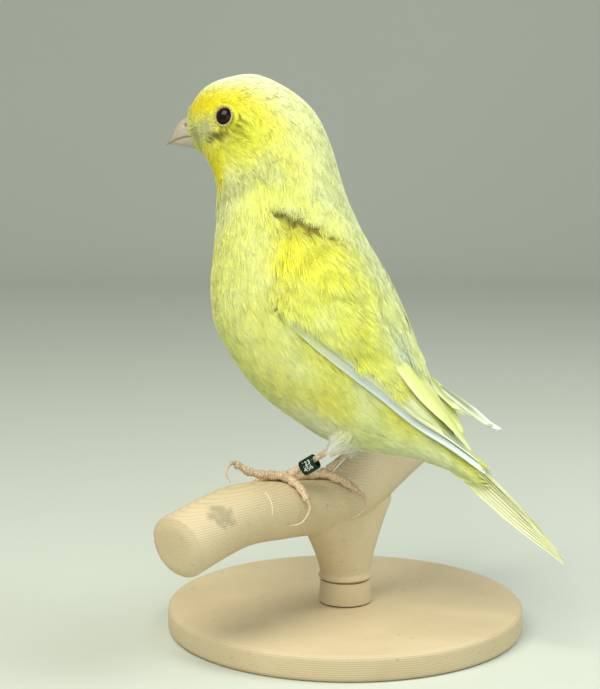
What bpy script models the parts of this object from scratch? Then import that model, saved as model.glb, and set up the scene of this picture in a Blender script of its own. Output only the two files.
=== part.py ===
"""A life-size yellow canary on a moulded T perch, held on a plain round stand.

The bird faces -X and is even about the plane y = BIRD_Y, apart from its right wing, which stands off its back.
The origin is the middle of the stand's underside. The sizes below are millimetres, and MM turns them to metres.
A place on the plumage is a station number along the body and an angle: 0 is the middle of the back, +90 the
left flank, -90 the right flank and 180 the middle of the belly.
"""

import math

import bmesh
import bpy
import numpy as np
from mathutils import Vector

MM = 0.001
GAP = 0.3  # clear space that two pieces keep where they meet
UP = Vector((0, 0, 1))
SIDES = {"left": 1, "right": -1}

# Body: one station a row, from the face to the root of the tail and on under it, to guide the wing tips.
# A row is the back edge (x, z), the belly edge (x, z), the half width, and how far up from the belly
# the body is widest, as a share.
BIRD_Y = -12.5
STATIONS = np.array(
    (
        (-33.5, 120.5, -30.5, 113.0, 3.6, 0.50),
        (-32.5, 124.0, -29.0, 111.0, 5.8, 0.48),
        (-29.5, 127.5, -27.5, 108.0, 7.8, 0.46),
        (-24.5, 129.5, -26.5, 105.0, 9.2, 0.45),
        (-18.0, 130.0, -26.5, 101.5, 10.0, 0.45),
        (-10.5, 126.5, -27.0, 98.0, 10.4, 0.46),
        (-5.0, 121.5, -27.5, 93.5, 11.0, 0.48),
        (-1.5, 114.0, -28.0, 88.0, 12.4, 0.50),
        (1.5, 104.0, -28.5, 81.5, 14.2, 0.52),
        (5.0, 96.0, -27.5, 74.0, 15.6, 0.54),
        (9.0, 87.0, -23.5, 66.5, 16.2, 0.55),
        (12.5, 78.5, -17.0, 58.5, 15.8, 0.55),
        (15.5, 70.5, -9.0, 52.5, 14.2, 0.55),
        (18.5, 63.0, 0.0, 47.5, 12.0, 0.54),
        (21.5, 56.5, 10.0, 45.5, 9.6, 0.52),
        (25.0, 51.5, 18.5, 44.5, 7.4, 0.50),
        (29.0, 47.5, 25.5, 42.5, 5.8, 0.50),
        (33.0, 44.0, 31.0, 39.8, 4.6, 0.50),
        (37.0, 40.5, 35.5, 36.8, 3.8, 0.50),
    )
)
SECTION_POWER = 2.2  # 2 is an ellipse, and more is squarer
STATION_STEP = 5.5  # about how far apart the stations are at the two cuts
HEAD_END = 5.5  # station numbers where the body is parted
NECK_END = 7.8
TORSO_END = 16.2
BODY_SIDES = 26
RING_STEP = 0.5

# Eye and lids
EYE_STATION = 3.4
EYE_ANGLE = 69.0
EYE_RADIUS = 2.0
EYE_SINK = 1.2
LID_RING = 1.95
LID_THICK = 0.42
LID_SIDES = 14

# Bill: its mouth line runs from the gape to the tip.
GAPE = Vector((-32.1, 0, 116.6))
BILL_TIP = Vector((-39.0, 0, 114.5))
MOUTH_BOW = 0.35
BILL_SHARES = (0, 0.16, 0.32, 0.48, 0.64, 0.78, 0.9, 1.0)
BILL_ARCH = 9  # points over the arch of each half
UPPER_HEIGHT = 4.2
UPPER_HALF_WIDTH = 3.3
UPPER_HOOK = 0.3
LOWER_DEPTH = 3.45
LOWER_HALF_WIDTH = 3.1
LOWER_SHARE = 0.93  # length of the lower half against the upper
NOSTRIL = Vector((-34.1, 2.35, 118.9))  # y is the distance to either side
NOSTRIL_RADIUS = 0.5

# Wings: the pad of the folded arm is a rounded lens between a front and a rear edge. Each edge is a row of
# (station, angle) places from the belly side to the back.
PAD_FRONT = ((9.0, 96), (8.0, 87), (7.8, 70), (8.4, 50), (9.3, 31))
PAD_REAR = ((10.2, 93), (11.0, 80), (11.7, 62), (12.2, 44), (12.3, 27))
PAD_THICK = 1.9
PAD_EDGE = 0.5
PAD_GRID = (9, 7)
WING_CUT = 0.8  # how deep the pad reaches before it is trimmed to the torso

# Rows of wing feathers, each from the one nearest the belly to the one nearest the back. Roots and tips are
# (station, angle, lift off the body) of the first and the last feather. Widths are of the first and the last.
# Blunt runs from 0, pointed, to 1, square, and tilt is how far the belly-side edge stands over the next one.
WING_ROWS = {
    "primaries": {
        "count": 6,
        "roots": ((9.8, 95, 0.9), (10.4, 85, 1.2)),
        "tips": ((17.3, 68, 1.3), (15.7, 49, 1.4)),
        "widths": (4.2, 5.2),
        "blunt": 0.3,
        "tilt": 0.45,
    },
    "secondaries": {
        "count": 4,
        "roots": ((10.4, 80, 1.2), (11.0, 54, 1.6)),
        "tips": ((15.5, 46, 1.6), (15.1, 30, 1.8)),
        "widths": (5.4, 6.2),
        "blunt": 0.8,
        "tilt": 0.6,
    },
    "tertials": {
        "count": 3,
        "roots": ((11.0, 46, 1.9), (10.6, 26, 2.2)),
        "tips": ((16.7, 20, 2.0), (13.4, 10, 2.5)),
        "widths": (6.4, 7.4),
        "blunt": 0.6,
        "tilt": 0.6,
    },
    "primary_coverts": {
        "count": 2,
        "roots": ((9.4, 96, 1.5), (9.7, 91, 1.8)),
        "tips": ((12.0, 84, 1.3), (11.8, 77, 1.6)),
        "widths": (3.4, 3.8),
        "blunt": 0.4,
        "tilt": 0.4,
    },
    "greater_coverts": {
        "count": 5,
        "roots": ((9.5, 88, 1.6), (10.2, 36, 2.1)),
        "tips": ((11.4, 81, 1.9), (12.7, 24, 2.6)),
        "widths": (5.4, 6.4),
        "blunt": 0.8,
        "tilt": 0.5,
    },
    "median_coverts": {
        "count": 4,
        "roots": ((8.8, 88, 1.6), (9.6, 40, 2.1)),
        "tips": ((10.1, 84, 2.3), (11.2, 33, 2.9)),
        "widths": (6.0, 7.0),
        "blunt": 0.9,
        "tilt": 0.5,
    },
}
FLIGHT = ("primaries", "secondaries", "tertials")
# How far a wing's tip stands off the back.
WING_RAISE = {"left": 0.0, "right": 7.4}
RAISE_FROM = 11.0  # station from which it does
RAISE_TURN = 0.42  # share by which its tips also turn towards the back

VANE_THICK = 0.6
VANE_RIM = 0.5
VANE_CAMBER = 0.12
VANE_ROWS = 4

# Tail: length along the top from its root to its tip, its pairs of feathers and its coverts.
TAIL_ROOT = Vector((29.6, BIRD_Y, 46.4))
TAIL_TIP = Vector((53.2, BIRD_Y, 22.2))
TAIL_LENGTH = (TAIL_TIP - TAIL_ROOT).length
TAIL_PAIRS = 6
TAIL_WIDTH = 4.6
TAIL_SPREAD = (0.3, 0.36)  # sideways place of the middle pair at the root, and the step to each next pair
TAIL_FAN = (0.4, 0.5)  # the same at the tip
TAIL_DROP = 0.17  # how much lower each feather lies than the last
TAIL_FORK = 0.7  # how much shorter each inner pair is
TAIL_BOW = 1.4  # how far its middle arches up
COVERTS = {"upper": (-0.5, 13.0, 1.0), "under": (1.9, 12.0, -1.0)}  # drop, length and way that they rise

# Perch bar: its centreline and radius (x, y, z, radius) from the near end, over the post, to the far end.
BAR_ROUTE = (
    (-28.7, -46.9, 29.3, 7.3),
    (-19.6, -30.2, 32.8, 7.1),
    (-11.2, -17.6, 31.9, 6.6),
    (-4.0, -8.0, 30.9, 6.3),
    (0.4, -0.6, 31.8, 6.5),
    (3.6, 8.0, 34.3, 6.8),
    (7.4, 19.0, 37.8, 7.0),
    (10.6, 29.8, 40.0, 7.0),
    (13.0, 39.6, 41.2, 6.9),
)
BAR_STEPS = 2
BAR_SIDES = 18
BAR_FINE = 20  # steps a span for finding a place on the bar
END_ROUNDING = ((0.0, 0.68), (0.5, 0.82), (1.3, 0.93), (2.3, 0.985))  # distance from the end, share of radius
SOCKET_RIM_Z = 11.9
SOCKET_RIM_RADIUS = 6.4
SOCKET_NECK_RADIUS = 5.9
SOCKET_TOP_Z = 29.0
SOCKET_TOP_ALONG = 15.5
SOCKET_TOP_ACROSS = 5.8
SOCKET_FLARE = 1.25

# Stand
BASE_RADIUS = 42.0
BASE_HEIGHT = 6.0
BASE_CHAMFER = 1.2
ROD_TOP_RADIUS = 5.9
ROD_FOOT_RADIUS = 6.3

# Legs. A toe is a row of (distance along the bar towards its near end, angle from its top towards the near
# side, height of its middle off the bar), all counted from the foot's middle but the height. Claws go on from
# the toes' ends in the same way.
HUB_RADIUS = 1.35
HUB_HEIGHT = 1.45
TOE_RADIUS = 0.95
KNUCKLE = 0.1
CLAW_RADIUS = 0.5
TARSUS_RADIUS = 0.72
TARSUS_SIDES = 8
TARSUS_SHAPE = (1.5, 1.24, 1.08, 1.0, 0.96, 0.96, 1.0, 1.1, 1.25)
THIGH_SIDES = 12
THIGH_SHAPE = ((-0.9, 1.3), (-0.4, 2.1), (0.6, 2.9), (2.0, 3.6), (4.0, 4.2), (7.0, 4.8), (10.0, 5.0))
FEET = {
    "left": {
        "at": (22.0, 8.0),
        "ankle": (1.3, -19.3, 47.5),
        "knee": (8.5, -19.6, 55.5),
        "toes": {
            "outer": ((2.4, -8, 1.4), (4.8, -15, 1.6), (7.2, -21, 2.5), (9.2, -24, 4.2)),
            "middle": ((1.0, -22, 1.2), (2.6, -46, 1.2), (4.0, -70, 1.2), (5.0, -94, 1.2)),
            "inner": ((-1.6, -20, 1.1), (-2.6, -42, 1.1), (-3.4, -66, 1.1)),
            "hind": ((-0.5, 22, 1.2), (-1.0, 42, 1.3), (-1.1, 61, 1.6)),
        },
        "claws": {
            "outer": ((11.2, -25, 4.2), (12.2, -27, 2.4), (11.6, -29, 0.35)),
            "middle": ((5.2, -112, 1.5), (5.2, -132, 0.35)),
            "inner": ((-3.8, -84, 1.5), (-4.0, -104, 0.35)),
            "hind": ((-0.8, 80, 2.1), (1.2, 98, 1.7), (4.0, 106, 0.4)),
        },
    },
    "right": {
        "at": (8.8, 2.0),
        "ankle": (3.0, -5.5, 44.8),
        "knee": (8.5, -5.4, 55.5),
        "toes": {
            "outer": ((-2.4, -16, 1.1), (-4.0, -38, 1.1), (-5.0, -60, 1.1)),
            "middle": ((1.0, -24, 1.1), (2.2, -50, 1.1), (3.2, -76, 1.1), (3.8, -98, 1.1)),
            "inner": ((2.8, -12, 1.1), (5.4, -26, 1.1), (7.4, -42, 1.1)),
            "hind": ((-1.2, 21, 1.2), (-3.0, 40, 1.2), (-4.0, 56, 1.4)),
        },
        "claws": {
            "outer": ((-5.4, -80, 1.5), (-5.4, -100, 0.35)),
            "middle": ((3.8, -116, 1.5), (3.6, -136, 0.35)),
            "inner": ((8.4, -58, 1.5), (8.8, -76, 0.35)),
            "hind": ((-5.2, 78, 1.9), (-4.4, 96, 1.6), (-2.6, 112, 0.4)),
        },
    },
}
RING_RADIUS = 1.8
RING_WALL = 0.35
RING_SIDES = 16
RING_LENGTH = 3.8
RING_PLACE = 5.0  # distance of its middle up the tarsus
RING_HANG = 0.5

# Finishes: name, colour, roughness, metallic
PLUMAGE = ("plumage", (0.86, 0.83, 0.22), 0.75, 0.0)
FLIGHT_FEATHER = ("flight_feather", (0.88, 0.88, 0.62), 0.6, 0.0)
HORN = ("bill_horn", (0.78, 0.68, 0.60), 0.4, 0.0)
EYE_BLACK = ("eye", (0.01, 0.01, 0.012), 0.08, 0.0)
LEG_SKIN = ("leg_skin", (0.75, 0.56, 0.47), 0.55, 0.0)
CLAW = ("claw_horn", (0.82, 0.72, 0.55), 0.4, 0.0)
RING_GREEN = ("ring_metal", (0.02, 0.10, 0.07), 0.35, 0.6)
BEIGE = ("perch_plastic", (0.72, 0.58, 0.42), 0.7, 0.0)


def clear_scene():
    """Remove what Blender starts with."""
    for obj in list(bpy.data.objects):
        bpy.data.objects.remove(obj)


def make_collection(name):
    """Make a collection under the scene's own."""
    made = bpy.data.collections.new(name)
    bpy.context.scene.collection.children.link(made)
    return made


def material(look):
    """Make or find the material of a (name, colour, roughness, metallic) finish."""
    name, colour, roughness, metallic = look
    found = bpy.data.materials.get(name)
    if found:
        return found
    made = bpy.data.materials.new(name)
    made.use_nodes = True
    shader = made.node_tree.nodes["Principled BSDF"]
    shader.inputs["Base Color"].default_value = (*colour, 1.0)
    shader.inputs["Roughness"].default_value = roughness
    shader.inputs["Metallic"].default_value = metallic
    made.diffuse_color = (*colour, 1.0)
    return made


def dress(obj, look):
    """Give an object its one finish, and shade it smooth but for its sharp edges."""
    obj.data.materials.clear()
    obj.data.materials.append(material(look))
    obj.data.shade_smooth()
    obj.data.set_sharp_from_angle(angle=math.radians(40))


def add_object(name, mesh, collection, look=None):
    """Put a mesh in a collection as a named object."""
    obj = bpy.data.objects.new(name, mesh)
    collection.objects.link(obj)
    if look:
        dress(obj, look)
    return obj


def add_guide(name, mesh, collection):
    """Put a cutter, or a piece to be joined, in a collection as an object that isn't itself a part."""
    obj = add_object(name, mesh, collection)
    obj.hide_render = True
    obj.display_type = "WIRE"
    return obj


def loft(rings, closed_on_itself=False):
    """Join rings of equal length, given in millimetres, into one closed mesh with its faces outwards."""
    bm = bmesh.new()
    rows = [[bm.verts.new(point * MM) for point in ring] for ring in rings]
    if closed_on_itself:
        rows.append(rows[0])
    for row, following in zip(rows, rows[1:]):
        count = len(row)
        for i in range(count):
            j = (i + 1) % count
            bm.faces.new((row[i], row[j], following[j], following[i]))
    if not closed_on_itself:
        bm.faces.new(rows[0][::-1])
        bm.faces.new(rows[-1])
    bmesh.ops.recalc_face_normals(bm, faces=bm.faces)
    bmesh.ops.triangulate(bm, faces=[face for face in bm.faces if len(face.verts) > 4])
    mesh = bpy.data.meshes.new("loft")
    bm.to_mesh(mesh)
    bm.free()
    return mesh


def ball(centre, radius, segments=12, rings=8):
    """Sphere mesh, in millimetres."""
    bm = bmesh.new()
    bmesh.ops.create_uvsphere(bm, u_segments=segments, v_segments=rings, radius=radius * MM)
    bmesh.ops.translate(bm, verts=bm.verts, vec=centre * MM)
    mesh = bpy.data.meshes.new("ball")
    bm.to_mesh(mesh)
    bm.free()
    return mesh


def blend(first, last, share):
    """Value between two numbers, or between two rows of numbers."""
    if isinstance(first, tuple):
        return tuple(blend(a, b, share) for a, b in zip(first, last))
    return first + (last - first) * share


def smooth_row(rows, place):
    """Read a table of rows at a fractional row number, on a Catmull-Rom curve through them."""
    rows = np.asarray(rows, float)
    place = min(max(place, 0.0), len(rows) - 1.0)
    i = min(int(place), len(rows) - 2)
    f = place - i
    before = rows[max(i - 1, 0)]
    here = rows[i]
    after = rows[i + 1]
    later = rows[min(i + 2, len(rows) - 1)]
    return 0.5 * (
        2 * here
        + (after - before) * f
        + (2 * before - 5 * here + 4 * after - later) * f**2
        + (3 * here - before - 3 * after + later) * f**3
    )


def curve_through(points, steps):
    """Smooth path through hand-placed points."""
    rows = [tuple(point) for point in points]
    count = (len(rows) - 1) * steps
    return [Vector(smooth_row(rows, i / steps)) for i in range(count + 1)]


def bent(value, power):
    """Raise the size of a number to a power and keep its sign."""
    return math.copysign(abs(value) ** power, value)


def circle(count):
    """Angles in radians of evenly spaced points round a circle."""
    return [2 * math.pi * i / count for i in range(count)]


def tube(path, radii, sides=8):
    """Closed tube of varying radius along a path, which it follows without a twist."""
    rings = []
    side = (path[1] - path[0]).cross(UP)
    for i, centre in enumerate(path):
        ahead = (path[min(i + 1, len(path) - 1)] - path[max(i - 1, 0)]).normalized()
        side = (side - ahead * side.dot(ahead)).normalized()
        rise = side.cross(ahead)
        rings.append([centre + (side * math.cos(t) + rise * math.sin(t)) * radii[i] for t in circle(sides)])
    return loft(rings)


def section(station):
    """Middle, upward span, sideways span and widest share of the body's section at a station."""
    back_x, back_z, belly_x, belly_z, half_width, widest = smooth_row(STATIONS, station)
    belly = Vector((belly_x, BIRD_Y, belly_z))
    depth = Vector((back_x - belly_x, 0, back_z - belly_z))
    return belly, depth, half_width, widest


def body_point(station, angle):
    """Point of the plumage's surface."""
    belly, depth, half_width, widest = section(station)
    up = math.cos(math.radians(angle))
    side = math.sin(math.radians(angle))
    share = 1 - widest if up >= 0 else widest
    power = 2 / SECTION_POWER
    point = belly + depth * (widest + share * bent(up, power))
    point.y -= half_width * bent(side, power)
    return point


def body_normal(station, angle):
    """Outward direction of the plumage's surface."""
    along = body_point(station + 0.05, angle) - body_point(station - 0.05, angle)
    around = body_point(station, angle + 1) - body_point(station, angle - 1)
    return around.cross(along).normalized()


def on_body(station, angle, lift):
    """Point that stands off the plumage's surface."""
    return body_point(station, angle) + body_normal(station, angle) * lift


def body_place(point):
    """Station and angle of the body that a point lies over."""
    low, high = 0.0, len(STATIONS) - 1.0
    for _ in range(20):
        middle = (low + high) / 2
        belly, depth, _, _ = section(middle)
        offset = point - belly
        if depth.z * offset.x - depth.x * offset.z > 0:
            low = middle
        else:
            high = middle
    belly, depth, half_width, widest = section(low)
    height = (point - belly).dot(depth) / depth.dot(depth) - widest
    up = height / (1 - widest if height >= 0 else widest)
    side = (belly.y - point.y) / half_width
    power = SECTION_POWER / 2
    return low, math.degrees(math.atan2(bent(side, power), bent(up, power)))


def body_rings(first, last, lift=0.0):
    """Rings of the body between two stations."""
    count = max(2, round((last - first) / RING_STEP))
    angles = [math.degrees(t) for t in circle(BODY_SIDES)]
    return [[on_body(blend(first, last, k / count), a, lift) for a in angles] for k in range(count + 1)]


def boolean(obj, other, operation):
    """Apply one Boolean against an object or a collection."""
    modifier = obj.modifiers.new(operation.lower(), "BOOLEAN")
    modifier.operation = operation
    modifier.solver = "MANIFOLD"
    if isinstance(other, bpy.types.Collection):
        modifier.operand_type = "COLLECTION"
        modifier.collection = other
    else:
        modifier.object = other
    graph = bpy.context.evaluated_depsgraph_get()
    mesh = bpy.data.meshes.new_from_object(obj.evaluated_get(graph))
    obj.modifiers.clear()
    obj.data = mesh


def keep_largest(obj):
    """Keep only the largest closed surface of an object."""
    bm = bmesh.new()
    bm.from_mesh(obj.data)
    left = set(bm.verts)
    bodies = []
    while left:
        stack = [left.pop()]
        body = set(stack)
        while stack:
            for edge in stack.pop().link_edges:
                for vert in edge.verts:
                    if vert in left:
                        left.remove(vert)
                        body.add(vert)
                        stack.append(vert)
        bodies.append(body)

    def box_size(body):
        return math.prod(max(span) - min(span) for span in zip(*(vert.co for vert in body)))

    bodies.sort(key=box_size, reverse=True)
    for body in bodies[1:]:
        bmesh.ops.delete(bm, geom=list(body), context="VERTS")
    bm.to_mesh(obj.data)
    bm.free()


def join_pieces(name, core, pieces, collection, look, cutters=()):
    """Fuse a core with pieces that sink into it, trim it by cutters, and keep its one closed body."""
    obj = add_object(name, core, collection)
    if pieces:
        group = make_collection(name + "_pieces")
        for mesh in pieces:
            add_guide(name + "_piece", mesh, group)
        boolean(obj, group, "UNION")
        for piece in list(group.objects):
            bpy.data.objects.remove(piece)
        bpy.data.collections.remove(group)
    for cutter in cutters:
        boolean(obj, cutter, "DIFFERENCE")
    keep_largest(obj)
    dress(obj, look)
    return obj


def vane(path, normals, width, blunt, tilt, hand, rows=VANE_ROWS):
    """One feather: a thin closed vane with a raised shaft line, a thinner rim and a rounded tip.

    path and normals are functions of the share along the feather. hand is +1 or -1, so that the edge that
    tilt raises is the same one on both sides of the bird.
    """
    tops = []
    bottoms = []
    for row in range(rows + 1):
        share = 1 - (1 - row / rows) ** 1.15
        here = path(share)
        ahead = (path(min(share + 0.02, 1)) - path(max(share - 0.02, 0))).normalized()
        normal = normals(share)
        side = normal.cross(ahead).normalized() * hand
        narrowing = max(0.0, (share - 0.6) / 0.4) ** 2.2 * (0.88 - 0.42 * blunt)
        half = 0.5 * width * (0.62 + 0.38 * min(1, share / 0.35)) * (1 - narrowing)
        back = ahead * half * 0.7 if row == rows else Vector()
        row_top = []
        row_bottom = []
        for place, depth in ((-1, VANE_RIM), (0, VANE_THICK), (1, VANE_RIM)):
            rise = -0.5 * tilt * place - VANE_CAMBER * half * abs(place)
            middle = here + side * half * place + normal * rise - back * abs(place)
            row_top.append(middle + normal * depth / 2)
            row_bottom.append(middle - normal * depth / 2)
        tops.append(row_top)
        bottoms.append(row_bottom)
    return vane_mesh(tops, bottoms)


def vane_mesh(tops, bottoms):
    """Closed mesh between two three-point-wide strips, split into triangles alike on both."""
    bm = bmesh.new()
    top = [[bm.verts.new(point * MM) for point in row] for row in tops]
    bottom = [[bm.verts.new(point * MM) for point in row] for row in bottoms]
    last = len(top) - 1
    for i in range(last):
        for grid in (top, bottom):
            edge, shaft, other = grid[i]
            next_edge, next_shaft, next_other = grid[i + 1]
            bm.faces.new((edge, shaft, next_shaft))
            bm.faces.new((edge, next_shaft, next_edge))
            bm.faces.new((shaft, other, next_shaft))
            bm.faces.new((other, next_other, next_shaft))
    rim = [(i, 0) for i in range(last + 1)] + [(last, 1)]
    rim += [(i, 2) for i in range(last, -1, -1)] + [(0, 1)]
    for (i, j), (k, m) in zip(rim, rim[1:] + rim[:1]):
        bm.faces.new((top[i][j], top[k][m], bottom[k][m]))
        bm.faces.new((top[i][j], bottom[k][m], bottom[i][j]))
    bmesh.ops.recalc_face_normals(bm, faces=bm.faces)
    mesh = bpy.data.meshes.new("vane")
    bm.to_mesh(mesh)
    bm.free()
    return mesh


def wing_vane(root, tip, width, blunt, tilt, hand):
    """Feather that lies straight along the body's side from a root to a tip, both (station, angle, lift)."""
    start = on_body(root[0], hand * root[1], root[2])
    end = on_body(tip[0], hand * tip[1], tip[2])

    def path(share):
        return on_body(*body_place(start.lerp(end, share)), blend(root[2], tip[2], share**1.5))

    def normals(share):
        return body_normal(*body_place(start.lerp(end, share)))

    return vane(path, normals, width, blunt, tilt, hand)


def wing_pad(hand):
    """Pad of the folded arm under the coverts: a rounded lens on the body's side."""
    along, around = PAD_GRID
    rings = []
    for i in range(along + 1):
        outer = []
        inner = []
        for j in range(around + 1):
            edge_place = j / around * (len(PAD_FRONT) - 1)
            front = smooth_row(PAD_FRONT, edge_place)
            rear = smooth_row(PAD_REAR, edge_place)
            station, angle = front + (rear - front) * i / along
            swell = (1 - abs(2 * i / along - 1) ** 3) * (1 - abs(2 * j / around - 1) ** 3)
            outer.append(on_body(station, hand * angle, PAD_EDGE + PAD_THICK * swell**0.6))
            inner.append(on_body(station, hand * angle, -WING_CUT))
        rings.append(outer + inner[::-1])
    return loft(rings)


def raised(tip, amount):
    """Tip of a flight feather on a wing that stands off the back by an amount at its own tip."""
    station, angle, lift = tip
    longest = WING_ROWS["primaries"]["tips"][0][0]
    share = max(0.0, station - RAISE_FROM) / (longest - RAISE_FROM)
    turn = RAISE_TURN if amount else 0
    return station - share * turn * 2, angle * (1 - turn * share), lift + amount * share


def build_wing(side_name, collection, cutters):
    """One folded wing: the arm's pad with tiers of vanes fused into it."""
    hand = SIDES[side_name]
    pieces = []
    for name, row in WING_ROWS.items():
        for i in range(row["count"]):
            share = i / (row["count"] - 1)
            root = blend(*row["roots"], share)
            tip = blend(*row["tips"], share)
            if name in FLIGHT:
                tip = raised(tip, WING_RAISE[side_name])
            width = blend(*row["widths"], share)
            pieces.append(wing_vane(root, tip, width, row["blunt"], row["tilt"], hand))
    join_pieces(f"wing_{side_name}", wing_pad(hand), pieces, collection, FLIGHT_FEATHER, cutters)


def build_body(collection):
    """Head, neck and torso, parted by two cuts."""
    half_cut = 0.5 * GAP / STATION_STEP
    spans = {
        "head": (0.0, HEAD_END - half_cut),
        "neck": (HEAD_END + half_cut, NECK_END - half_cut),
        "torso": (NECK_END + half_cut, TORSO_END),
    }
    return {name: add_object(name, loft(body_rings(*span)), collection, PLUMAGE) for name, span in spans.items()}


def lid_ring(centre, axis):
    """Ring of lids round an eye."""
    turn = axis.to_track_quat("Z", "Y")
    rings = []
    for t in circle(LID_SIDES):
        out = turn @ Vector((math.cos(t), math.sin(t), 0))
        middle = centre + out * LID_RING
        rings.append([middle + (out * math.cos(a) + axis * math.sin(a)) * LID_THICK for a in circle(6)])
    return loft(rings, closed_on_itself=True)


def build_eyes(head, collection, guides):
    """Fuse the lids to the head, cut the sockets and set the eyeballs in them."""
    for side_name, hand in SIDES.items():
        out = body_normal(EYE_STATION, hand * EYE_ANGLE)
        centre = on_body(EYE_STATION, hand * EYE_ANGLE, -EYE_SINK)
        lids = lid_ring(on_body(EYE_STATION, hand * EYE_ANGLE, 0.1), out)
        boolean(head, add_guide("lids", lids, guides), "UNION")
        boolean(head, add_guide("eye_socket", ball(centre, EYE_RADIUS + GAP), guides), "DIFFERENCE")
        add_object(f"eye_{side_name}", ball(centre, EYE_RADIUS), collection, EYE_BLACK)
    keep_largest(head)
    dress(head, PLUMAGE)


def bill_half(height, half_width, reach, power, hook):
    """Loft of one half of the bill, from its flat base at the face to the tip. A height below 0 is the lower."""
    belly, depth, _, _ = section(0)
    base_up = depth.normalized()
    forward = (BILL_TIP - GAPE).normalized()
    rings = []
    for share in BILL_SHARES:
        taper = (1 - share**power) * 0.96 + 0.04
        narrow = (1 - share) ** 0.66 * 0.95 + 0.05
        rise_way = base_up.lerp(UP, share).normalized()
        bow = MOUTH_BOW * math.sin(math.pi * share)
        origin = GAPE.lerp(BILL_TIP, share * reach) + forward * GAP
        origin += rise_way * (bow + math.copysign(GAP / 2, height)) - UP * hook * share**5
        ring = []
        for i in range(BILL_ARCH):
            t = math.pi * i / (BILL_ARCH - 1)
            point = origin + rise_way * height * taper * math.sin(t) ** 0.9
            point.y = BIRD_Y - half_width * narrow * bent(math.cos(t), 0.85)
            ring.append(point)
        for place in (0.5, 0, -0.5):
            point = origin.copy()
            point.y = BIRD_Y + half_width * narrow * place
            ring.append(point)
        rings.append(ring)
    return loft(rings)


def build_bill(collection, guides):
    """Upper and lower half of the bill, with the nostrils sunk in the upper."""
    upper_mesh = bill_half(UPPER_HEIGHT, UPPER_HALF_WIDTH, 1.0, 1.9, UPPER_HOOK)
    upper = add_object("bill_upper", upper_mesh, collection)
    for hand in SIDES.values():
        spot = Vector((NOSTRIL.x, BIRD_Y - hand * NOSTRIL.y, NOSTRIL.z))
        boolean(upper, add_guide("nostril", ball(spot, NOSTRIL_RADIUS, 8, 4), guides), "DIFFERENCE")
    dress(upper, HORN)
    lower_mesh = bill_half(-LOWER_DEPTH, LOWER_HALF_WIDTH, LOWER_SHARE, 1.2, 0)
    add_object("bill_lower", lower_mesh, collection, HORN)


def tail_vane(start, reach, spread, fan, drop, drop_tip, width, blunt):
    """Feather of the tail, placed along it, to the side at its root and tip, and below its top line."""
    along = (TAIL_TIP - TAIL_ROOT).normalized()
    side = Vector((0, -1, 0))
    up = side.cross(along)

    def path(share):
        sideways = side * blend(spread, fan, share)
        rise = TAIL_BOW * math.sin(math.pi * share**1.4) * reach / TAIL_LENGTH - blend(drop, drop_tip, share)
        return TAIL_ROOT + along * (start + reach * share) + sideways + up * rise

    hand = 1 if fan >= 0 else -1
    return vane(path, lambda share: up, width, blunt, 0.2, hand)


def build_tail(collection, cutters):
    """Tail: six pairs of long feathers, the middle pair uppermost, and the coverts over and under their roots."""
    root_rings = []
    for k in range(4):
        station = TORSO_END + 0.06 + k * 0.3
        root_rings.append([on_body(station, math.degrees(t), -0.35 * k) for t in circle(16)])
    pieces = []
    for pair in range(TAIL_PAIRS):
        for hand in SIDES.values():
            spread = hand * (TAIL_SPREAD[0] + TAIL_SPREAD[1] * pair)
            fan = hand * (TAIL_FAN[0] + TAIL_FAN[1] * pair)
            drop = 0.3 + TAIL_DROP * (pair + (0.5 if hand < 0 else 0))
            reach = TAIL_LENGTH + 1.5 - TAIL_FORK * (TAIL_PAIRS - 1 - pair)
            pieces.append(tail_vane(-1.5, reach, spread, fan, drop + 0.5, drop * 0.7, TAIL_WIDTH, 0.3))
    for drop, reach, rise in COVERTS.values():
        for sideways in (-2.2, 0.0, 2.2):
            lower = drop + abs(sideways) * 0.15 * rise
            pieces.append(tail_vane(-1.0, reach - abs(sideways), sideways, sideways, lower, lower + rise, 4.2, 0.5))
    join_pieces("tail", loft(root_rings), pieces, collection, FLIGHT_FEATHER, cutters)


def bar_place(distance):
    """Centre, up and near-side axes and radius of the bar, at a distance from the post to its near end."""
    count = BAR_FINE * (len(BAR_ROUTE) - 1)
    rows = np.array([smooth_row(BAR_ROUTE, i / BAR_FINE) for i in range(count + 1)])
    steps = np.linalg.norm(np.diff(rows[:, :3], axis=0), axis=1)
    run = np.concatenate([[0], np.cumsum(steps)])
    post = int(np.argmin(np.linalg.norm(rows[:, :2], axis=1)))
    place = run[post] - distance
    i = int(np.clip(np.searchsorted(run, place) - 1, 0, count - 1))
    row = rows[i] + (rows[i + 1] - rows[i]) * (place - run[i]) / (run[i + 1] - run[i])
    along = Vector(rows[i][:3] - rows[i + 1][:3]).normalized()
    up = (UP - along * along.z).normalized()
    return Vector(row[:3]), up, up.cross(along), row[3]


def on_bar(distance, angle, height):
    """Point off the bar's surface, at an angle from its top towards the near side."""
    centre, up, near, radius = bar_place(distance)
    turn = math.radians(angle)
    return centre + (up * math.cos(turn) + near * math.sin(turn)) * (radius + height)


def socket_ring(long, wide, z, heading, squareness):
    """Ring of the socket: round at its rim, and longer and squarer where it meets the bar."""
    power = 2 / (2 + squareness)
    ring = []
    for t in circle(BAR_SIDES):
        a = long * bent(math.cos(t), power)
        b = wide * bent(math.sin(t), power)
        x = a * math.cos(heading) - b * math.sin(heading)
        y = a * math.sin(heading) + b * math.cos(heading)
        ring.append(Vector((x, y, z)))
    return ring


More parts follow.
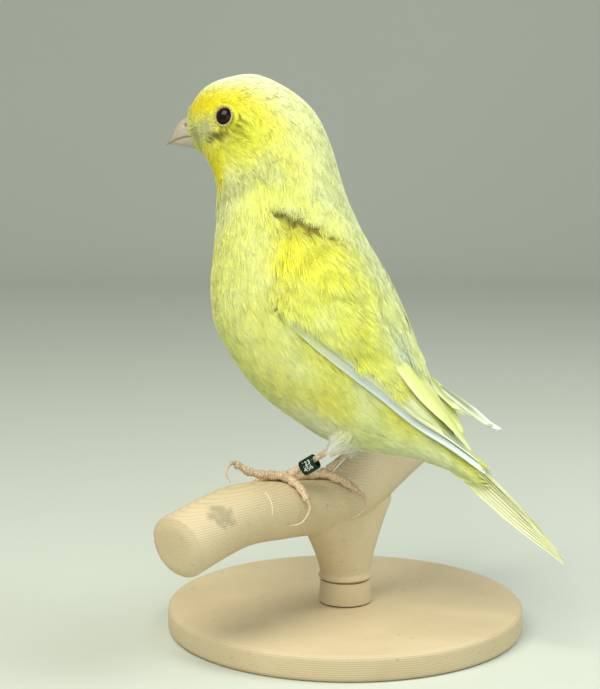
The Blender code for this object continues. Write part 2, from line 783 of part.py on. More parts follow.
def socket_mesh():
    """Flared socket under the bar, with a thin lip round its rim."""
    _, _, near, _ = bar_place(0.0)
    heading = math.atan2(-near.x, near.y)
    lip = SOCKET_RIM_RADIUS
    rings = [socket_ring(lip, lip, SOCKET_RIM_Z + rise, heading, 0) for rise in (0, 0.9)]
    for k in range(7):
        share = k / 6
        z = blend(SOCKET_RIM_Z + 1.4, SOCKET_TOP_Z, share)
        long = blend(SOCKET_NECK_RADIUS, SOCKET_TOP_ALONG, share**SOCKET_FLARE)
        wide = blend(SOCKET_NECK_RADIUS, SOCKET_TOP_ACROSS, share)
        rings.append(socket_ring(long, wide, z, heading, share))
    return loft(rings)


def build_perch(collection):
    """Perch bar with rounded ends, fused with the socket that takes the post."""
    count = (len(BAR_ROUTE) - 1) * BAR_STEPS
    rows = [smooth_row(BAR_ROUTE, i / BAR_STEPS) for i in range(count + 1)]
    path = [Vector(row[:3]) for row in rows]
    radii = [row[3] for row in rows]
    for end in (0, -1):
        inward = (path[1] - path[0] if end == 0 else path[-2] - path[-1]).normalized()
        point = path.pop(end)
        radius = radii.pop(end)
        for back, share in END_ROUNDING[::-1]:
            spot = 0 if end == 0 else len(path)
            path.insert(spot, point + inward * back)
            radii.insert(spot, radius * share)
    join_pieces("perch_bar", tube(path, radii, BAR_SIDES), [socket_mesh()], collection, BEIGE)


def build_stand(collection):
    """Flat round base and the short post under the socket."""
    bpy.ops.mesh.primitive_cylinder_add(
        vertices=64, radius=BASE_RADIUS * MM, depth=BASE_HEIGHT * MM, location=(0, 0, BASE_HEIGHT * MM / 2)
    )
    base = bpy.context.object
    base.name = "stand_base"
    bevel = base.modifiers.new("edge", "BEVEL")
    bevel.width = BASE_CHAMFER * MM
    bevel.segments = 2
    bevel.limit_method = "ANGLE"
    bpy.ops.mesh.primitive_cone_add(
        vertices=32,
        radius1=ROD_FOOT_RADIUS * MM,
        radius2=ROD_TOP_RADIUS * MM,
        depth=(SOCKET_RIM_Z - BASE_HEIGHT - 2 * GAP) * MM,
        location=(0, 0, (SOCKET_RIM_Z + BASE_HEIGHT) * MM / 2),
    )
    rod = bpy.context.object
    rod.name = "stand_rod"
    for obj in (base, rod):
        for owner in list(obj.users_collection):
            owner.objects.unlink(obj)
        collection.objects.link(obj)
        dress(obj, BEIGE)


def build_thigh(side_name, collection, guides, cutters):
    """Feathered end of the thigh, which stands out of the belly round the top of the tarsus."""
    ankle = Vector(FEET[side_name]["ankle"])
    back = (Vector(FEET[side_name]["knee"]) - ankle).normalized()
    path = [ankle + back * along for along, _ in THIGH_SHAPE]
    radii = [radius for _, radius in THIGH_SHAPE]
    join_pieces(f"thigh_{side_name}", tube(path, radii, THIGH_SIDES), [], collection, PLUMAGE, cutters)
    path[0] -= back * GAP
    wider = [radius + GAP for radius in radii]
    return add_guide("thigh_clearance", tube(path, wider, THIGH_SIDES), guides)


def build_foot(side_name, middle, collection):
    """Four toes fused round the foot's middle, and their claws."""
    foot = FEET[side_name]
    distance = foot["at"][0]
    toes = []
    for name, rows in foot["toes"].items():
        points = [middle] + [on_bar(distance + step, turn, height) for step, turn, height in rows]
        path = curve_through(points, 3)
        count = len(path) - 1
        radii = []
        for i in range(count + 1):
            swell = KNUCKLE * math.cos(2 * math.pi * i / count * (len(points) - 1))
            radii.append(TOE_RADIUS * (1.05 - 0.22 * i / count) + swell)
        toes.append(tube(path, radii))
        ahead = (path[-1] - path[-2]).normalized()
        start = path[-1] + ahead * GAP
        claw_rows = foot["claws"][name]
        points = [start, start + ahead * 0.8]
        points += [on_bar(distance + step, turn, height + GAP) for step, turn, height in claw_rows]
        claw_path = curve_through(points, 3)
        last = len(claw_path) - 1
        claw_radii = [CLAW_RADIUS * (1.1 - 0.95 * (i / last) ** 1.1) for i in range(last + 1)]
        add_object(f"claw_{side_name}_{name}", tube(claw_path, claw_radii, 6), collection, CLAW)
    hub = ball(middle, HUB_RADIUS)
    join_pieces(f"foot_{side_name}", hub, toes, collection, LEG_SKIN)


def build_leg(side_name, collection, guides, cutters):
    """One leg: thigh, tarsus, foot and claws. Returns the tarsus's two ends."""
    foot = FEET[side_name]
    middle = on_bar(*foot["at"], HUB_HEIGHT)
    ankle = Vector(foot["ankle"])
    build_foot(side_name, middle, collection)
    round_thigh = build_thigh(side_name, collection, guides, cutters)
    start = middle + (ankle - middle).normalized() * HUB_RADIUS
    last = len(TARSUS_SHAPE) - 1
    path = [start.lerp(ankle, i / last) for i in range(last + 1)]
    tarsus = tube(path, [TARSUS_RADIUS * share for share in TARSUS_SHAPE], TARSUS_SIDES)
    trims = [*cutters, round_thigh]
    trims.append(add_guide("hub_clearance", ball(middle, HUB_RADIUS + GAP), guides))
    for name, rows in foot["toes"].items():
        points = [middle] + [on_bar(foot["at"][0] + step, turn, height) for step, turn, height in rows[:1]]
        clearance = tube(curve_through(points, 3), [TOE_RADIUS * 1.05 + KNUCKLE + GAP] * 4)
        trims.append(add_guide("toe_clearance", clearance, guides))
    join_pieces(f"tarsus_{side_name}", tarsus, [], collection, LEG_SKIN, trims)
    return start, ankle


def build_leg_ring(start, end, collection):
    """Closed ring that hangs loose on a tarsus."""
    along = (end - start).normalized()
    down = (along * along.z - UP).normalized()
    side = along.cross(down)
    middle = start + along * RING_PLACE + down * RING_HANG
    inner = RING_RADIUS - RING_WALL
    profile = ((-1, inner), (-1, RING_RADIUS - 0.1), (-0.93, RING_RADIUS))
    profile += ((0.93, RING_RADIUS), (1, RING_RADIUS - 0.1), (1, inner))
    rings = []
    for place, radius in profile:
        centre = middle + along * place * RING_LENGTH / 2
        rings.append([centre + (down * math.cos(t) + side * math.sin(t)) * radius for t in circle(RING_SIDES)])
    add_object("leg_ring", loft(rings, closed_on_itself=True), collection, RING_GREEN)


def main():
    """Build every part of the canary, its perch and its stand."""
    clear_scene()
    parts = make_collection("canary")
    guides = make_collection("cutters")
    body = build_body(parts)
    build_eyes(body["head"], parts, guides)
    build_bill(parts, guides)
    torso_clearance = add_guide("torso_clearance", loft(body_rings(NECK_END - 0.4, TORSO_END + 1.2, GAP)), guides)
    torso_end = add_guide("torso_end", loft(body_rings(NECK_END, TORSO_END, GAP)), guides)
    for side_name in SIDES:
        build_wing(side_name, parts, [torso_clearance])
    build_tail(parts, [torso_end])
    build_perch(parts)
    build_stand(parts)
    for side_name in SIDES:
        tarsus = build_leg(side_name, parts, guides, [torso_end])
        if side_name == "left":
            build_leg_ring(*tarsus, parts)


main()
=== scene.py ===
"""A life-size yellow canary on a printed T perch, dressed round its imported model.

The bird faces -X and its left side is towards -Y. Sizes are millimetres, and MM turns them to metres. A place
on the plumage is a station number along the body and an angle: 0 is the middle of the back, +90 the left
flank, -90 the right flank and 180 the middle of the belly. The stations, toes and bar repeat the model's own.
"""

from __future__ import annotations

import logging
import math
from collections.abc import Callable
from dataclasses import dataclass, field
from enum import Enum

import bmesh
import bpy
import numpy as np
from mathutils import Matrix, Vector

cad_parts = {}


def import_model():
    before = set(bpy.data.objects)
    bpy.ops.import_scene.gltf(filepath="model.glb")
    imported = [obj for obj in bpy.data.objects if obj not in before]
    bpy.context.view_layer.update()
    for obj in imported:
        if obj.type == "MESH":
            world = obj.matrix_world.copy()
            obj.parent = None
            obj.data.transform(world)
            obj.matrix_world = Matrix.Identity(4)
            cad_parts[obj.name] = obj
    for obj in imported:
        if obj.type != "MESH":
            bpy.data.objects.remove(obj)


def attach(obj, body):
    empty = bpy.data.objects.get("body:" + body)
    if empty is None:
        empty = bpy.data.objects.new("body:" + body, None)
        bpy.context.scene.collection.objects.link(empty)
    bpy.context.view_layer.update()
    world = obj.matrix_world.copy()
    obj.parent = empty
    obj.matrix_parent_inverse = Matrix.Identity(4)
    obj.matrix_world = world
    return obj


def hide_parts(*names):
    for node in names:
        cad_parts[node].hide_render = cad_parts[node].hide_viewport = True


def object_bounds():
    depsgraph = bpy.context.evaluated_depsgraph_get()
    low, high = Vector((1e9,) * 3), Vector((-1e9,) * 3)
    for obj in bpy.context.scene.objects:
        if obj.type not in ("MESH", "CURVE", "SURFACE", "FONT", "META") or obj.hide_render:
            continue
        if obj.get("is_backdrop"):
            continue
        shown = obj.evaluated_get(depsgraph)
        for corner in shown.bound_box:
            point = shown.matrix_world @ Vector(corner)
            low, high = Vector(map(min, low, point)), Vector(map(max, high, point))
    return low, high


LOG = logging.getLogger("canary")
MM = 0.001
BODY = "root"
TINT = "tint"  # colour attribute that every feathered piece carries
BAKE_MAP = "OFBake"
VANE_MAP = "vane"  # place across and along each stiff feather, in metres
PATCH = 0.003  # width of one tuft's patch on the bake map
GAP = 0.3
FAR = 99.0  # stands for a distance that limits nothing
UP = np.array((0.0, 0.0, 1.0))

Socket = bpy.types.NodeSocket
Input = Socket | float | tuple
Material = bpy.types.Material
Object = bpy.types.Object


class Side(Enum):
    """Which side of the bird a piece is on. The value is the sign of its angles."""

    LEFT = 1
    RIGHT = -1

    @property
    def word(self) -> str:
        """Name of the side in node names."""
        return self.name.lower()


class Slot(Enum):
    """Material slots of the record."""

    PLUMAGE = "plumage"
    FLIGHT = "flight_feather"
    BILL = "bill_horn"
    EYE = "eye"
    LEG = "leg_skin"
    CLAW = "claw_horn"
    RING = "ring_metal"
    PLASTIC = "perch_plastic"


# Numbers and curves


def unit(vectors: np.ndarray) -> np.ndarray:
    """Scale vectors, whose last axis is x, y, z, to length one."""
    length = np.linalg.norm(vectors, axis=-1, keepdims=True)
    return vectors / np.maximum(length, 1e-9)


def bent(value: np.ndarray, power: float) -> np.ndarray:
    """Raise the size of numbers to a power and keep their signs."""
    return np.sign(value) * np.abs(value) ** power


def ramp(value: np.ndarray, low: float, high: float) -> np.ndarray:
    """Smooth step from 0 at low to 1 at high."""
    share = np.clip((np.asarray(value, float) - low) / (high - low), 0, 1)
    return share * share * (3 - 2 * share)


def hump(offset: np.ndarray, power: float = 2) -> np.ndarray:
    """Bell that is 1 where the offset is 0 and falls to both sides."""
    return np.exp(-(np.abs(offset) ** power))


def mix(first: np.ndarray, last: np.ndarray, share: np.ndarray) -> np.ndarray:
    """Value between two arrays.

    Args:
        first: Value where the share is 0.
        last: Value where the share is 1.
        share: How far it is from first to last. A share per row also serves rows of several numbers.

    Returns:
        The values between.
    """
    share = np.asarray(share, float)
    first = np.asarray(first, float)
    last = np.asarray(last, float)
    if share.ndim and max(first.ndim, last.ndim) == share.ndim + 1:
        share = share[..., None]
    return first + (last - first) * share


def shade(first: np.ndarray, last: np.ndarray, share: np.ndarray) -> np.ndarray:
    """Blend linear colours, with one share for each colour made."""
    return first + (last - first) * np.asarray(share, float)[..., None]


def turns(count: int) -> np.ndarray:
    """Angles of points spread evenly round a circle, in radians."""
    return np.arange(count) * 2 * np.pi / count


def read_line(line: tuple, value: np.ndarray, by: int = 0) -> np.ndarray:
    """Read a line drawn through listed pairs of station and angle.

    Args:
        line: The pairs, in order along the line.
        value: Where to read it.
        by: 0 to read angles at stations, 1 to read stations at angles.

    Returns:
        The other number of the pair at each value.
    """
    table = np.array(sorted(line, key=lambda pair: pair[by]), float)
    return np.interp(value, table[:, by], table[:, 1 - by])


def smooth_rows(table: np.ndarray, place: np.ndarray) -> np.ndarray:
    """Read a table at fractional row numbers, on a Catmull-Rom curve through its rows.

    Args:
        table: Rows of numbers.
        place: Row numbers, which may be fractions.

    Returns:
        One row of numbers for each place.
    """
    table = np.asarray(table, float)
    place = np.clip(np.asarray(place, float), 0, len(table) - 1)
    i = np.minimum(place.astype(int), len(table) - 2)
    f = (place - i)[..., None]
    before = table[np.maximum(i - 1, 0)]
    here = table[i]
    after = table[i + 1]
    later = table[np.minimum(i + 2, len(table) - 1)]
    return 0.5 * (
        2 * here
        + (after - before) * f
        + (2 * before - 5 * here + 4 * after - later) * f**2
        + (3 * here - before - 3 * after + later) * f**3
    )


def curve_through(points: list, steps: int) -> np.ndarray:
    """Smooth path through given points, with so many steps between two of them."""
    count = (len(points) - 1) * steps
    return smooth_rows(np.array([tuple(p) for p in points]), np.arange(count + 1) / steps)


def linear(code: str) -> tuple[float, float, float, float]:
    """Turn an sRGB hex colour to linear RGBA.

    Args:
        code: Six hex digits.

    Returns:
        Linear red, green and blue, and an alpha of 1.
    """
    values = [int(code[i : i + 2], 16) / 255 for i in (0, 2, 4)]
    turned = [v / 12.92 if v <= 0.04045 else ((v + 0.055) / 1.055) ** 2.4 for v in values]
    return (*turned, 1.0)


def rgb(code: str) -> np.ndarray:
    """Linear red, green and blue of an sRGB hex colour."""
    return np.array(linear(code)[:3])


# Nodes and finishes


def set_inputs(tree: bpy.types.NodeTree, node: bpy.types.Node, inputs: dict) -> None:
    """Set or link inputs of a node.

    Args:
        tree: Node tree that the node is in.
        node: The node.
        inputs: Values or sockets, by the name or number of the input.
    """
    for name, value in inputs.items():
        if isinstance(value, Socket):
            tree.links.new(value, node.inputs[name])
        else:
            node.inputs[name].default_value = value


def add_node(tree: bpy.types.NodeTree, kind: str, settings: dict, inputs: dict) -> bpy.types.Node:
    """Add a node with its settings, and set or link its inputs.

    Args:
        tree: Node tree of a material.
        kind: Blender's name of the node type.
        settings: Values of the node's own properties.
        inputs: Values or sockets for its inputs, by name or number.

    Returns:
        The new node.
    """
    node = tree.nodes.new(kind)
    for name, value in settings.items():
        setattr(node, name, value)
    set_inputs(tree, node, inputs)
    return node


class Recipe:
    """A material under way: its shader, and short ways to add the nodes that the finishes share."""

    def __init__(self, name: str) -> None:
        """Start a material with its Principled shader.

        Args:
            name: Name of the material.
        """
        self.material = bpy.data.materials.new(name)
        self.material.use_nodes = True
        self.tree = self.material.node_tree
        self.shader = self.tree.nodes["Principled BSDF"]

    def add(self, kind: str, inputs: dict, output: str | int = 0, **settings: str) -> Socket:
        """Add a node of a kind, and give back one of its outputs."""
        return add_node(self.tree, f"ShaderNode{kind}", settings, inputs).outputs[output]

    def tint(self) -> Socket:
        """Colour that the piece carries on its points."""
        return self.add("Attribute", {}, "Color", attribute_name=TINT)

    def place(self) -> Socket:
        """Place on the object."""
        return self.add("TexCoord", {}, "Object")

    def noise(self, at: Socket, size_mm: float, detail: float) -> Socket:
        """Noise whose largest features have a size."""
        return self.add("TexNoise", {"Vector": at, "Scale": 1 / (size_mm * MM), "Detail": detail}, "Fac")

    def spread(self, value: Socket, low: float, high: float, first: float, last: float) -> Socket:
        """Turn values from low to high into values from first to last."""
        inputs = {"Value": value, "From Min": low, "From Max": high, "To Min": first, "To Max": last}
        return self.add("MapRange", inputs, "Result")

    def blend(self, share: Input, first: Input, last: Input, kind: str = "MIX") -> Socket:
        """Blend two colours by a share."""
        return self.add("Mix", {0: share, 6: first, 7: last}, 2, data_type="RGBA", blend_type=kind)

    def times(self, colour: Socket, tone: Socket) -> Socket:
        """Colour multiplied by a tone."""
        return self.blend(1.0, colour, tone, "MULTIPLY")

    def math(self, operation: str, *values: Socket | float) -> Socket:
        """Result of one operation on numbers."""
        return self.add("Math", dict(enumerate(values)), 0, operation=operation)

    def distance(self, at: Socket, spot: tuple) -> Socket:
        """Distance from a spot that is given in millimetres."""
        return self.add("VectorMath", {0: at, 1: tuple(v * MM for v in spot)}, "Value", operation="DISTANCE")

    def bump(self, height: Socket, strength: float, deep_mm: float) -> Socket:
        """Surface direction over small heights."""
        return self.add("Bump", {"Strength": strength, "Distance": deep_mm * MM, "Height": height}, "Normal")

    def done(self, colour: Socket, values: dict) -> Material:
        """Finished material, with a base colour and other values or sockets by the shader's input."""
        set_inputs(self.tree, self.shader, {"Base Color": colour, **values})
        return self.material


@dataclass(frozen=True)
class PlumageFinish:
    """Barbs of small feathers: keratin with fine hooks that scatter light, so it looks soft and matt."""

    name: str = "soft_keratin_barbs"
    roughness: float = 0.75
    sheen: float = 0.12
    sheen_roughness: float = 0.5
    specular: float = 0.18
    flecks_mm: float = 0.7  # size of the fine change in tone
    fleck_low: float = 0.93

    def material(self) -> Material:
        """Build the material: the piece's own tint with fine flecks.

        Returns:
            The material.
        """
        recipe = Recipe(self.name)
        flecks = recipe.noise(recipe.place(), self.flecks_mm, 2.0)
        tone = recipe.spread(flecks, 0.3, 0.7, self.fleck_low, 1.0)
        values = {
            "Roughness": self.roughness,
            "Specular IOR Level": self.specular,
            "Sheen Weight": self.sheen,
            "Sheen Roughness": self.sheen_roughness,
        }
        return recipe.done(recipe.times(recipe.tint(), tone), values)


@dataclass(frozen=True)
class VaneFinish:
    """Flight feathers: smooth zipped vanes with a silky gloss and slanting barb lines."""

    name: str = "zipped_keratin_vane"
    roughness: float = 0.5
    specular: float = 0.4
    barb_mm: float = 0.34  # real barbs are about 0.2 apart, which the render can't show
    slant: float = 0.85
    bump: float = 0.28
    bump_mm: float = 0.08
    line_tone: float = 0.9

    def material(self) -> Material:
        """Build the material: the piece's own tint with barb lines that slant off the shaft.

        Returns:
            The material.
        """
        recipe = Recipe(self.name)
        spot = recipe.add("UVMap", {}, "UV", uv_map=VANE_MAP)
        across = recipe.math("ABSOLUTE", recipe.add("SeparateXYZ", {0: spot}, "X"))
        length = recipe.add("SeparateXYZ", {0: spot}, "Y")
        along = recipe.math("SUBTRACT", length, recipe.math("MULTIPLY", across, self.slant))
        wave = recipe.math("SINE", recipe.math("MULTIPLY", along, 2 * math.pi / (self.barb_mm * MM)))
        tone = recipe.spread(wave, -1.0, 1.0, self.line_tone, 1.0)
        values = {
            "Roughness": self.roughness,
            "Specular IOR Level": self.specular,
            "Normal": recipe.bump(wave, self.bump, self.bump_mm),
        }
        return recipe.done(recipe.times(recipe.tint(), tone), values)


@dataclass(frozen=True)
class HornFinish:
    """Horn of bill or claws: smooth, faintly see-through keratin with fine growth streaks."""

    name: str
    streak_mm: float
    roughness: float = 0.36
    subsurface: float = 0.12
    subsurface_mm: float = 0.6
    bump: float = 0.25
    bump_mm: float = 0.05
    turn: float = -20.0  # degrees by which the streaks slope down to the tip
    stretch: float = 0.25

    def material(self) -> Material:
        """Build the material: the piece's own tint with streaks and shallow wear.

        Returns:
            The material.
        """
        recipe = Recipe(self.name)
        inputs = {
            "Vector": recipe.place(),
            "Rotation": (0, math.radians(self.turn), 0),
            "Scale": (self.stretch, 1.0, 1.0),
        }
        streaks = recipe.noise(recipe.add("Mapping", inputs, "Vector"), self.streak_mm, 4.0)
        tone = recipe.spread(streaks, 0.3, 0.7, 0.82, 1.04)
        values = {
            "Roughness": self.roughness,
            "Subsurface Weight": self.subsurface,
            "Subsurface Scale": self.subsurface_mm * MM,
            "Normal": recipe.bump(streaks, self.bump, self.bump_mm),
        }
        return recipe.done(recipe.times(recipe.tint(), tone), values)


@dataclass(frozen=True)
class WetEyeFinish:
    """Eye: nearly black brown iris under a wet clear cornea, so it mirrors the lights sharply."""

    name: str = "wet_black_eye"
    colour: str = "0B0807"
    cloud: str = "1B100A"
    cloud_mm: float = 1.2
    roughness: float = 0.05
    specular: float = 0.2

    def material(self) -> Material:
        """Build the material: black with a faint brown cloud, smooth and wet.

        Returns:
            The material.
        """
        recipe = Recipe(self.name)
        share = recipe.noise(recipe.place(), self.cloud_mm, 3.0)
        colour = recipe.blend(share, linear(self.colour), linear(self.cloud))
        return recipe.done(colour, {"Roughness": self.roughness, "Specular IOR Level": self.specular})


@dataclass(frozen=True)
class ScalySkinFinish:
    """Leg skin: dry scaly skin over pink flesh, paler and dusty on the scutes' edges."""

    name: str = "scaly_leg_skin"
    flesh: str = "AE8D6F"
    scute: str = "DCC8A4"
    dust: str = "8C7150"
    scale_mm: float = 0.5
    seam: float = 0.16  # how far the flesh shows from a cell's edge, as a share of its size
    blotch_mm: float = 1.9
    dustiness: float = 0.6
    bump: float = 0.6
    bump_mm: float = 0.08
    roughness: float = 0.55
    subsurface: float = 0.15
    subsurface_mm: float = 0.8

    def material(self) -> Material:
        """Build the material: pink between pale cells, with dusty blotches and a cell bump.

        Returns:
            The material.
        """
        recipe = Recipe(self.name)
        spot = recipe.place()
        inputs = {"Vector": spot, "Scale": 1 / (self.scale_mm * MM)}
        cells = recipe.add("TexVoronoi", inputs, "Distance", feature="DISTANCE_TO_EDGE")
        plate = recipe.spread(cells, 0.0, self.seam, 0.0, 1.0)
        skin = recipe.blend(plate, linear(self.flesh), linear(self.scute))
        dusty = recipe.spread(recipe.noise(spot, self.blotch_mm, 5.0), 0.5, 0.72, 0.0, self.dustiness)
        worn = recipe.blend(dusty, skin, linear(self.dust))
        values = {
            "Roughness": self.roughness,
            "Subsurface Weight": self.subsurface,
            "Subsurface Scale": self.subsurface_mm * MM,
            "Normal": recipe.bump(plate, self.bump, self.bump_mm),
        }
        return recipe.done(recipe.times(worn, recipe.tint()), values)


@dataclass(frozen=True)
class AnodisedFinish:
    """Leg ring: aluminium anodised dark green, satin, with an uneven dye."""

    name: str = "anodised_aluminium_green"
    colour: str = "0E3A2E"
    dark: str = "061B16"
    dye_mm: float = 1.1
    metallic: float = 0.6

    def material(self) -> Material:
        """Build the material: dark green metal, duller where the dye is thick.

        Returns:
            The material.
        """
        recipe = Recipe(self.name)
        dye = recipe.noise(recipe.place(), self.dye_mm, 4.0)
        rough = recipe.spread(dye, 0.0, 1.0, 0.25, 0.5)
        colour = recipe.blend(dye, linear(self.dark), linear(self.colour))
        return recipe.done(colour, {"Roughness": rough, "Metallic": self.metallic})


@dataclass(frozen=True)
class PaintFinish:
    """White filling of the ring's engraved digits: dull enamel, a little worn."""

    name: str = "white_enamel_fill"
    colour: str = "F2F5F0"
    worn: str = "BFCFC6"
    wear_mm: float = 0.4
    roughness: float = 0.6

    def material(self) -> Material:
        """Build the material: off-white with worn spots.

        Returns:
            The material.
        """
        recipe = Recipe(self.name)
        wear = recipe.noise(recipe.place(), self.wear_mm, 3.0)
        colour = recipe.blend(wear, linear(self.colour), linear(self.worn))
        return recipe.done(colour, {"Roughness": self.roughness})


@dataclass(frozen=True)
class PrintedPlasticFinish:
    """Perch and stand: beige PLA in level layers, so fine contour lines run round it, wide on flat tops.

    Attributes:
        name: Name of the material.
        layer_mm: Height of a layer. Real ones are 0.2, which the render can't show.
        light: Hex colour of most of the plastic.
        dark: Hex colour of its blotches.
        smudge: Hex colour of dirt.
        smudge_at: Middle of the one smudge.
        smudge_reach: Its size in millimetres, or 0 for a piece without smudge and scratch.
        scratch_at: Middle of the one scratch.
        scratch_round: Middle of the circle that the scratch is an arc of.
        scratch: Hex colour of the scratch.
        scratch_half: Half the width of the scratch in millimetres.
        scratch_reach: Half its length in millimetres.
        bump: Strength of the layers' bump.
        bump_mm: How deep the layers are.
        roughness: Roughness of the plastic.
        specular: How strongly it mirrors.
    """

    name: str
    layer_mm: float = 0.5
    light: str = "D4C49E"
    dark: str = "C0AF87"
    smudge: str = "7E7A60"
    smudge_at: tuple = (-19.5, -41.2, 36.1)
    smudge_reach: float = 0.0
    scratch_at: tuple = (-11.4, -28.6, 36.2)
    scratch_round: tuple = (-17.1, -30.1, 34.4)
    scratch: str = "E6D8B6"
    scratch_half: float = 0.11
    scratch_reach: float = 2.8
    bump: float = 0.22
    bump_mm: float = 0.09
    roughness: float = 0.62
    specular: float = 0.35

    def material(self) -> Material:
        """Build the material: soft blotches, level layer lines, faint dirt, one smudge and one scratch.

        Returns:
            The material.
        """
        recipe = Recipe(self.name)
        spot = recipe.place()
        uneven = recipe.math("MULTIPLY", recipe.noise(spot, 9, 2.0), 0.5 * self.layer_mm * MM)
        level = recipe.math("ADD", recipe.add("SeparateXYZ", {0: spot}, "Z"), uneven)
        ridge = recipe.math("SINE", recipe.math("MULTIPLY", level, 2 * math.pi / (self.layer_mm * MM)))
        height = recipe.math("MULTIPLY_ADD", recipe.noise(spot, 0.5, 3.0), 0.8, ridge)
        groove = recipe.spread(ridge, -1.0, -0.3, 0.2, 0.0)
        dirty = recipe.spread(recipe.noise(spot, 1.6, 6.0), 0.64, 0.8, 0.0, 0.5)
        colour = recipe.blend(recipe.noise(spot, 14, 4.0), linear(self.light), linear(self.dark))
        for share in (groove, dirty):
            colour = recipe.blend(share, colour, linear(self.smudge))
        if self.smudge_reach:
            colour = recipe.blend(self.smudged(recipe, spot), colour, linear(self.smudge))
            colour = recipe.blend(self.scratched(recipe, spot), colour, linear(self.scratch))
        values = {
            "Roughness": self.roughness,
            "Specular IOR Level": self.specular,
            "Normal": recipe.bump(height, self.bump, self.bump_mm),
        }
        return recipe.done(colour, values)

    def smudged(self, recipe: Recipe, spot: Socket) -> Socket:
        """Find the one ragged smudge of dirt.

        Args:
            recipe: Material under way.
            spot: Place on the object.

        Returns:
            Share of dirt.
        """
        reach = self.smudge_reach * MM
        ragged = recipe.noise(spot, 2.2, 5.0)
        frayed = recipe.math("MULTIPLY_ADD", ragged, 2.2 * reach, recipe.distance(spot, self.smudge_at))
        return recipe.spread(frayed, 1.4 * reach, 2.0 * reach, 0.55, 0.0)

    def scratched(self, recipe: Recipe, spot: Socket) -> Socket:
        """Find the one pale, thin, bow-shaped scratch.

        Args:
            recipe: Material under way.
            spot: Place on the object.

        Returns:
            1 on the scratch, and 0 elsewhere.
        """
        bow = float(np.linalg.norm(np.array(self.scratch_at) - np.array(self.scratch_round)))
        round_away = recipe.distance(spot, self.scratch_round)
        line = recipe.math("COMPARE", round_away, bow * MM, self.scratch_half * MM)
        near = recipe.math("LESS_THAN", recipe.distance(spot, self.scratch_at), self.scratch_reach * MM)
        return recipe.math("MULTIPLY", line, near)


# Meshes


def deselect() -> None:
    """Deselect everything, so that an operator acts on one piece alone."""
    bpy.ops.object.select_all(action="DESELECT")


def choose(obj: Object) -> None:
    """Make one object the only selected and the active one.

    Args:
        obj: The object.
    """
    deselect()
    obj.select_set(True)
    bpy.context.view_layer.objects.active = obj


def apply_modifiers(obj: Object) -> None:
    """Apply an object's modifiers in order.

    Args:
        obj: The object.
    """
    choose(obj)
    for modifier in list(obj.modifiers):
        bpy.ops.object.modifier_apply(modifier=modifier.name)


def apply_place(obj: Object) -> None:
    """Put an object's place into its mesh."""
    choose(obj)
    bpy.ops.object.transform_apply(location=True, rotation=True, scale=True)


def read_points(obj: Object) -> np.ndarray:
    """Read the points of a mesh.

    Args:
        obj: The piece.

    Returns:
        Rows of x, y, z in metres.
    """
    raw = np.zeros(len(obj.data.vertices) * 3, np.float32)
    obj.data.vertices.foreach_get("co", raw)
    return raw.reshape(-1, 3)


def move_points(obj: Object, points: np.ndarray) -> None:
    """Move the points of a mesh to places in millimetres."""
    obj.data.vertices.foreach_set("co", (points * MM).astype(np.float32).ravel())
    obj.data.update()


def corner_points(mesh: bpy.types.Mesh) -> np.ndarray:
    """Read the point number of each corner of a mesh's faces.

    Args:
        mesh: The mesh.

    Returns:
        The numbers.
    """
    corners = np.zeros(len(mesh.loops), np.int32)
    mesh.loops.foreach_get("vertex_index", corners)
    return corners


def mesh_object(name: str, points: np.ndarray, faces: np.ndarray) -> Object:
    """Make a smooth object from points in millimetres and faces that all have as many corners.

    Args:
        name: Name of the object and its mesh.
        points: Rows of x, y, z.
        faces: Rows of point numbers.

    Returns:
        The object, linked to the scene.
    """
    mesh = bpy.data.meshes.new(name)
    faces = np.asarray(faces, np.int32)
    mesh.vertices.add(len(points))
    mesh.vertices.foreach_set("co", (np.asarray(points, np.float32) * MM).ravel())
    mesh.loops.add(faces.size)
    mesh.loops.foreach_set("vertex_index", faces.ravel())
    mesh.polygons.add(len(faces))
    mesh.polygons.foreach_set("loop_start", np.arange(0, faces.size, faces.shape[1], dtype=np.int32))
    mesh.polygons.foreach_set("use_smooth", np.ones(len(faces), bool))
    mesh.update(calc_edges=True)
    obj = bpy.data.objects.new(name, mesh)
    bpy.context.scene.collection.objects.link(obj)
    return obj


def set_tint(obj: Object, colours: np.ndarray) -> None:
    """Give each point of a mesh its linear colour.

    Args:
        obj: The piece.
        colours: One colour for each point, or one for all.
    """
    layer = obj.data.color_attributes.new(name=TINT, type="FLOAT_COLOR", domain="POINT")
    filled = np.ones((len(obj.data.vertices), 4), np.float32)
    filled[:, :3] = np.broadcast_to(colours, (len(filled), 3))
    layer.data.foreach_set("color", filled.ravel())


def set_map(obj: Object, name: str, by_point: np.ndarray) -> None:
    """Give a mesh a UV map from one place for each point."""
    layer = obj.data.uv_layers.new(name=name)
    layer.data.foreach_set("uv", np.asarray(by_point, np.float32)[corner_points(obj.data)].ravel())


def join_grid(first: np.ndarray, second: np.ndarray, sides: int) -> np.ndarray:
    """Quads between rings of points.

    Args:
        first: Number of each ring.
        second: Number of the ring that follows it.
        sides: Points of a ring.

    Returns:
        Rows of four point numbers.
    """
    i = first[:, None] * sides
    following = second[:, None] * sides
    j = np.arange(sides)[None]
    k = (j + 1) % sides
    return np.stack(np.broadcast_arrays(i + j, i + k, following + k, following + j), -1).reshape(-1, 4)


def close_and_turn_out(obj: Object) -> None:
    """Cap a tube's open ends, and turn its faces outwards.

    Args:
        obj: The piece.
    """
    bm = bmesh.new()
    bm.from_mesh(obj.data)
    ends = [edge for edge in bm.edges if edge.is_boundary]
    bmesh.ops.holes_fill(bm, edges=ends, sides=0)
    bmesh.ops.recalc_face_normals(bm, faces=bm.faces)
    for face in bm.faces:
        face.smooth = True
    bm.to_mesh(obj.data)
    bm.free()


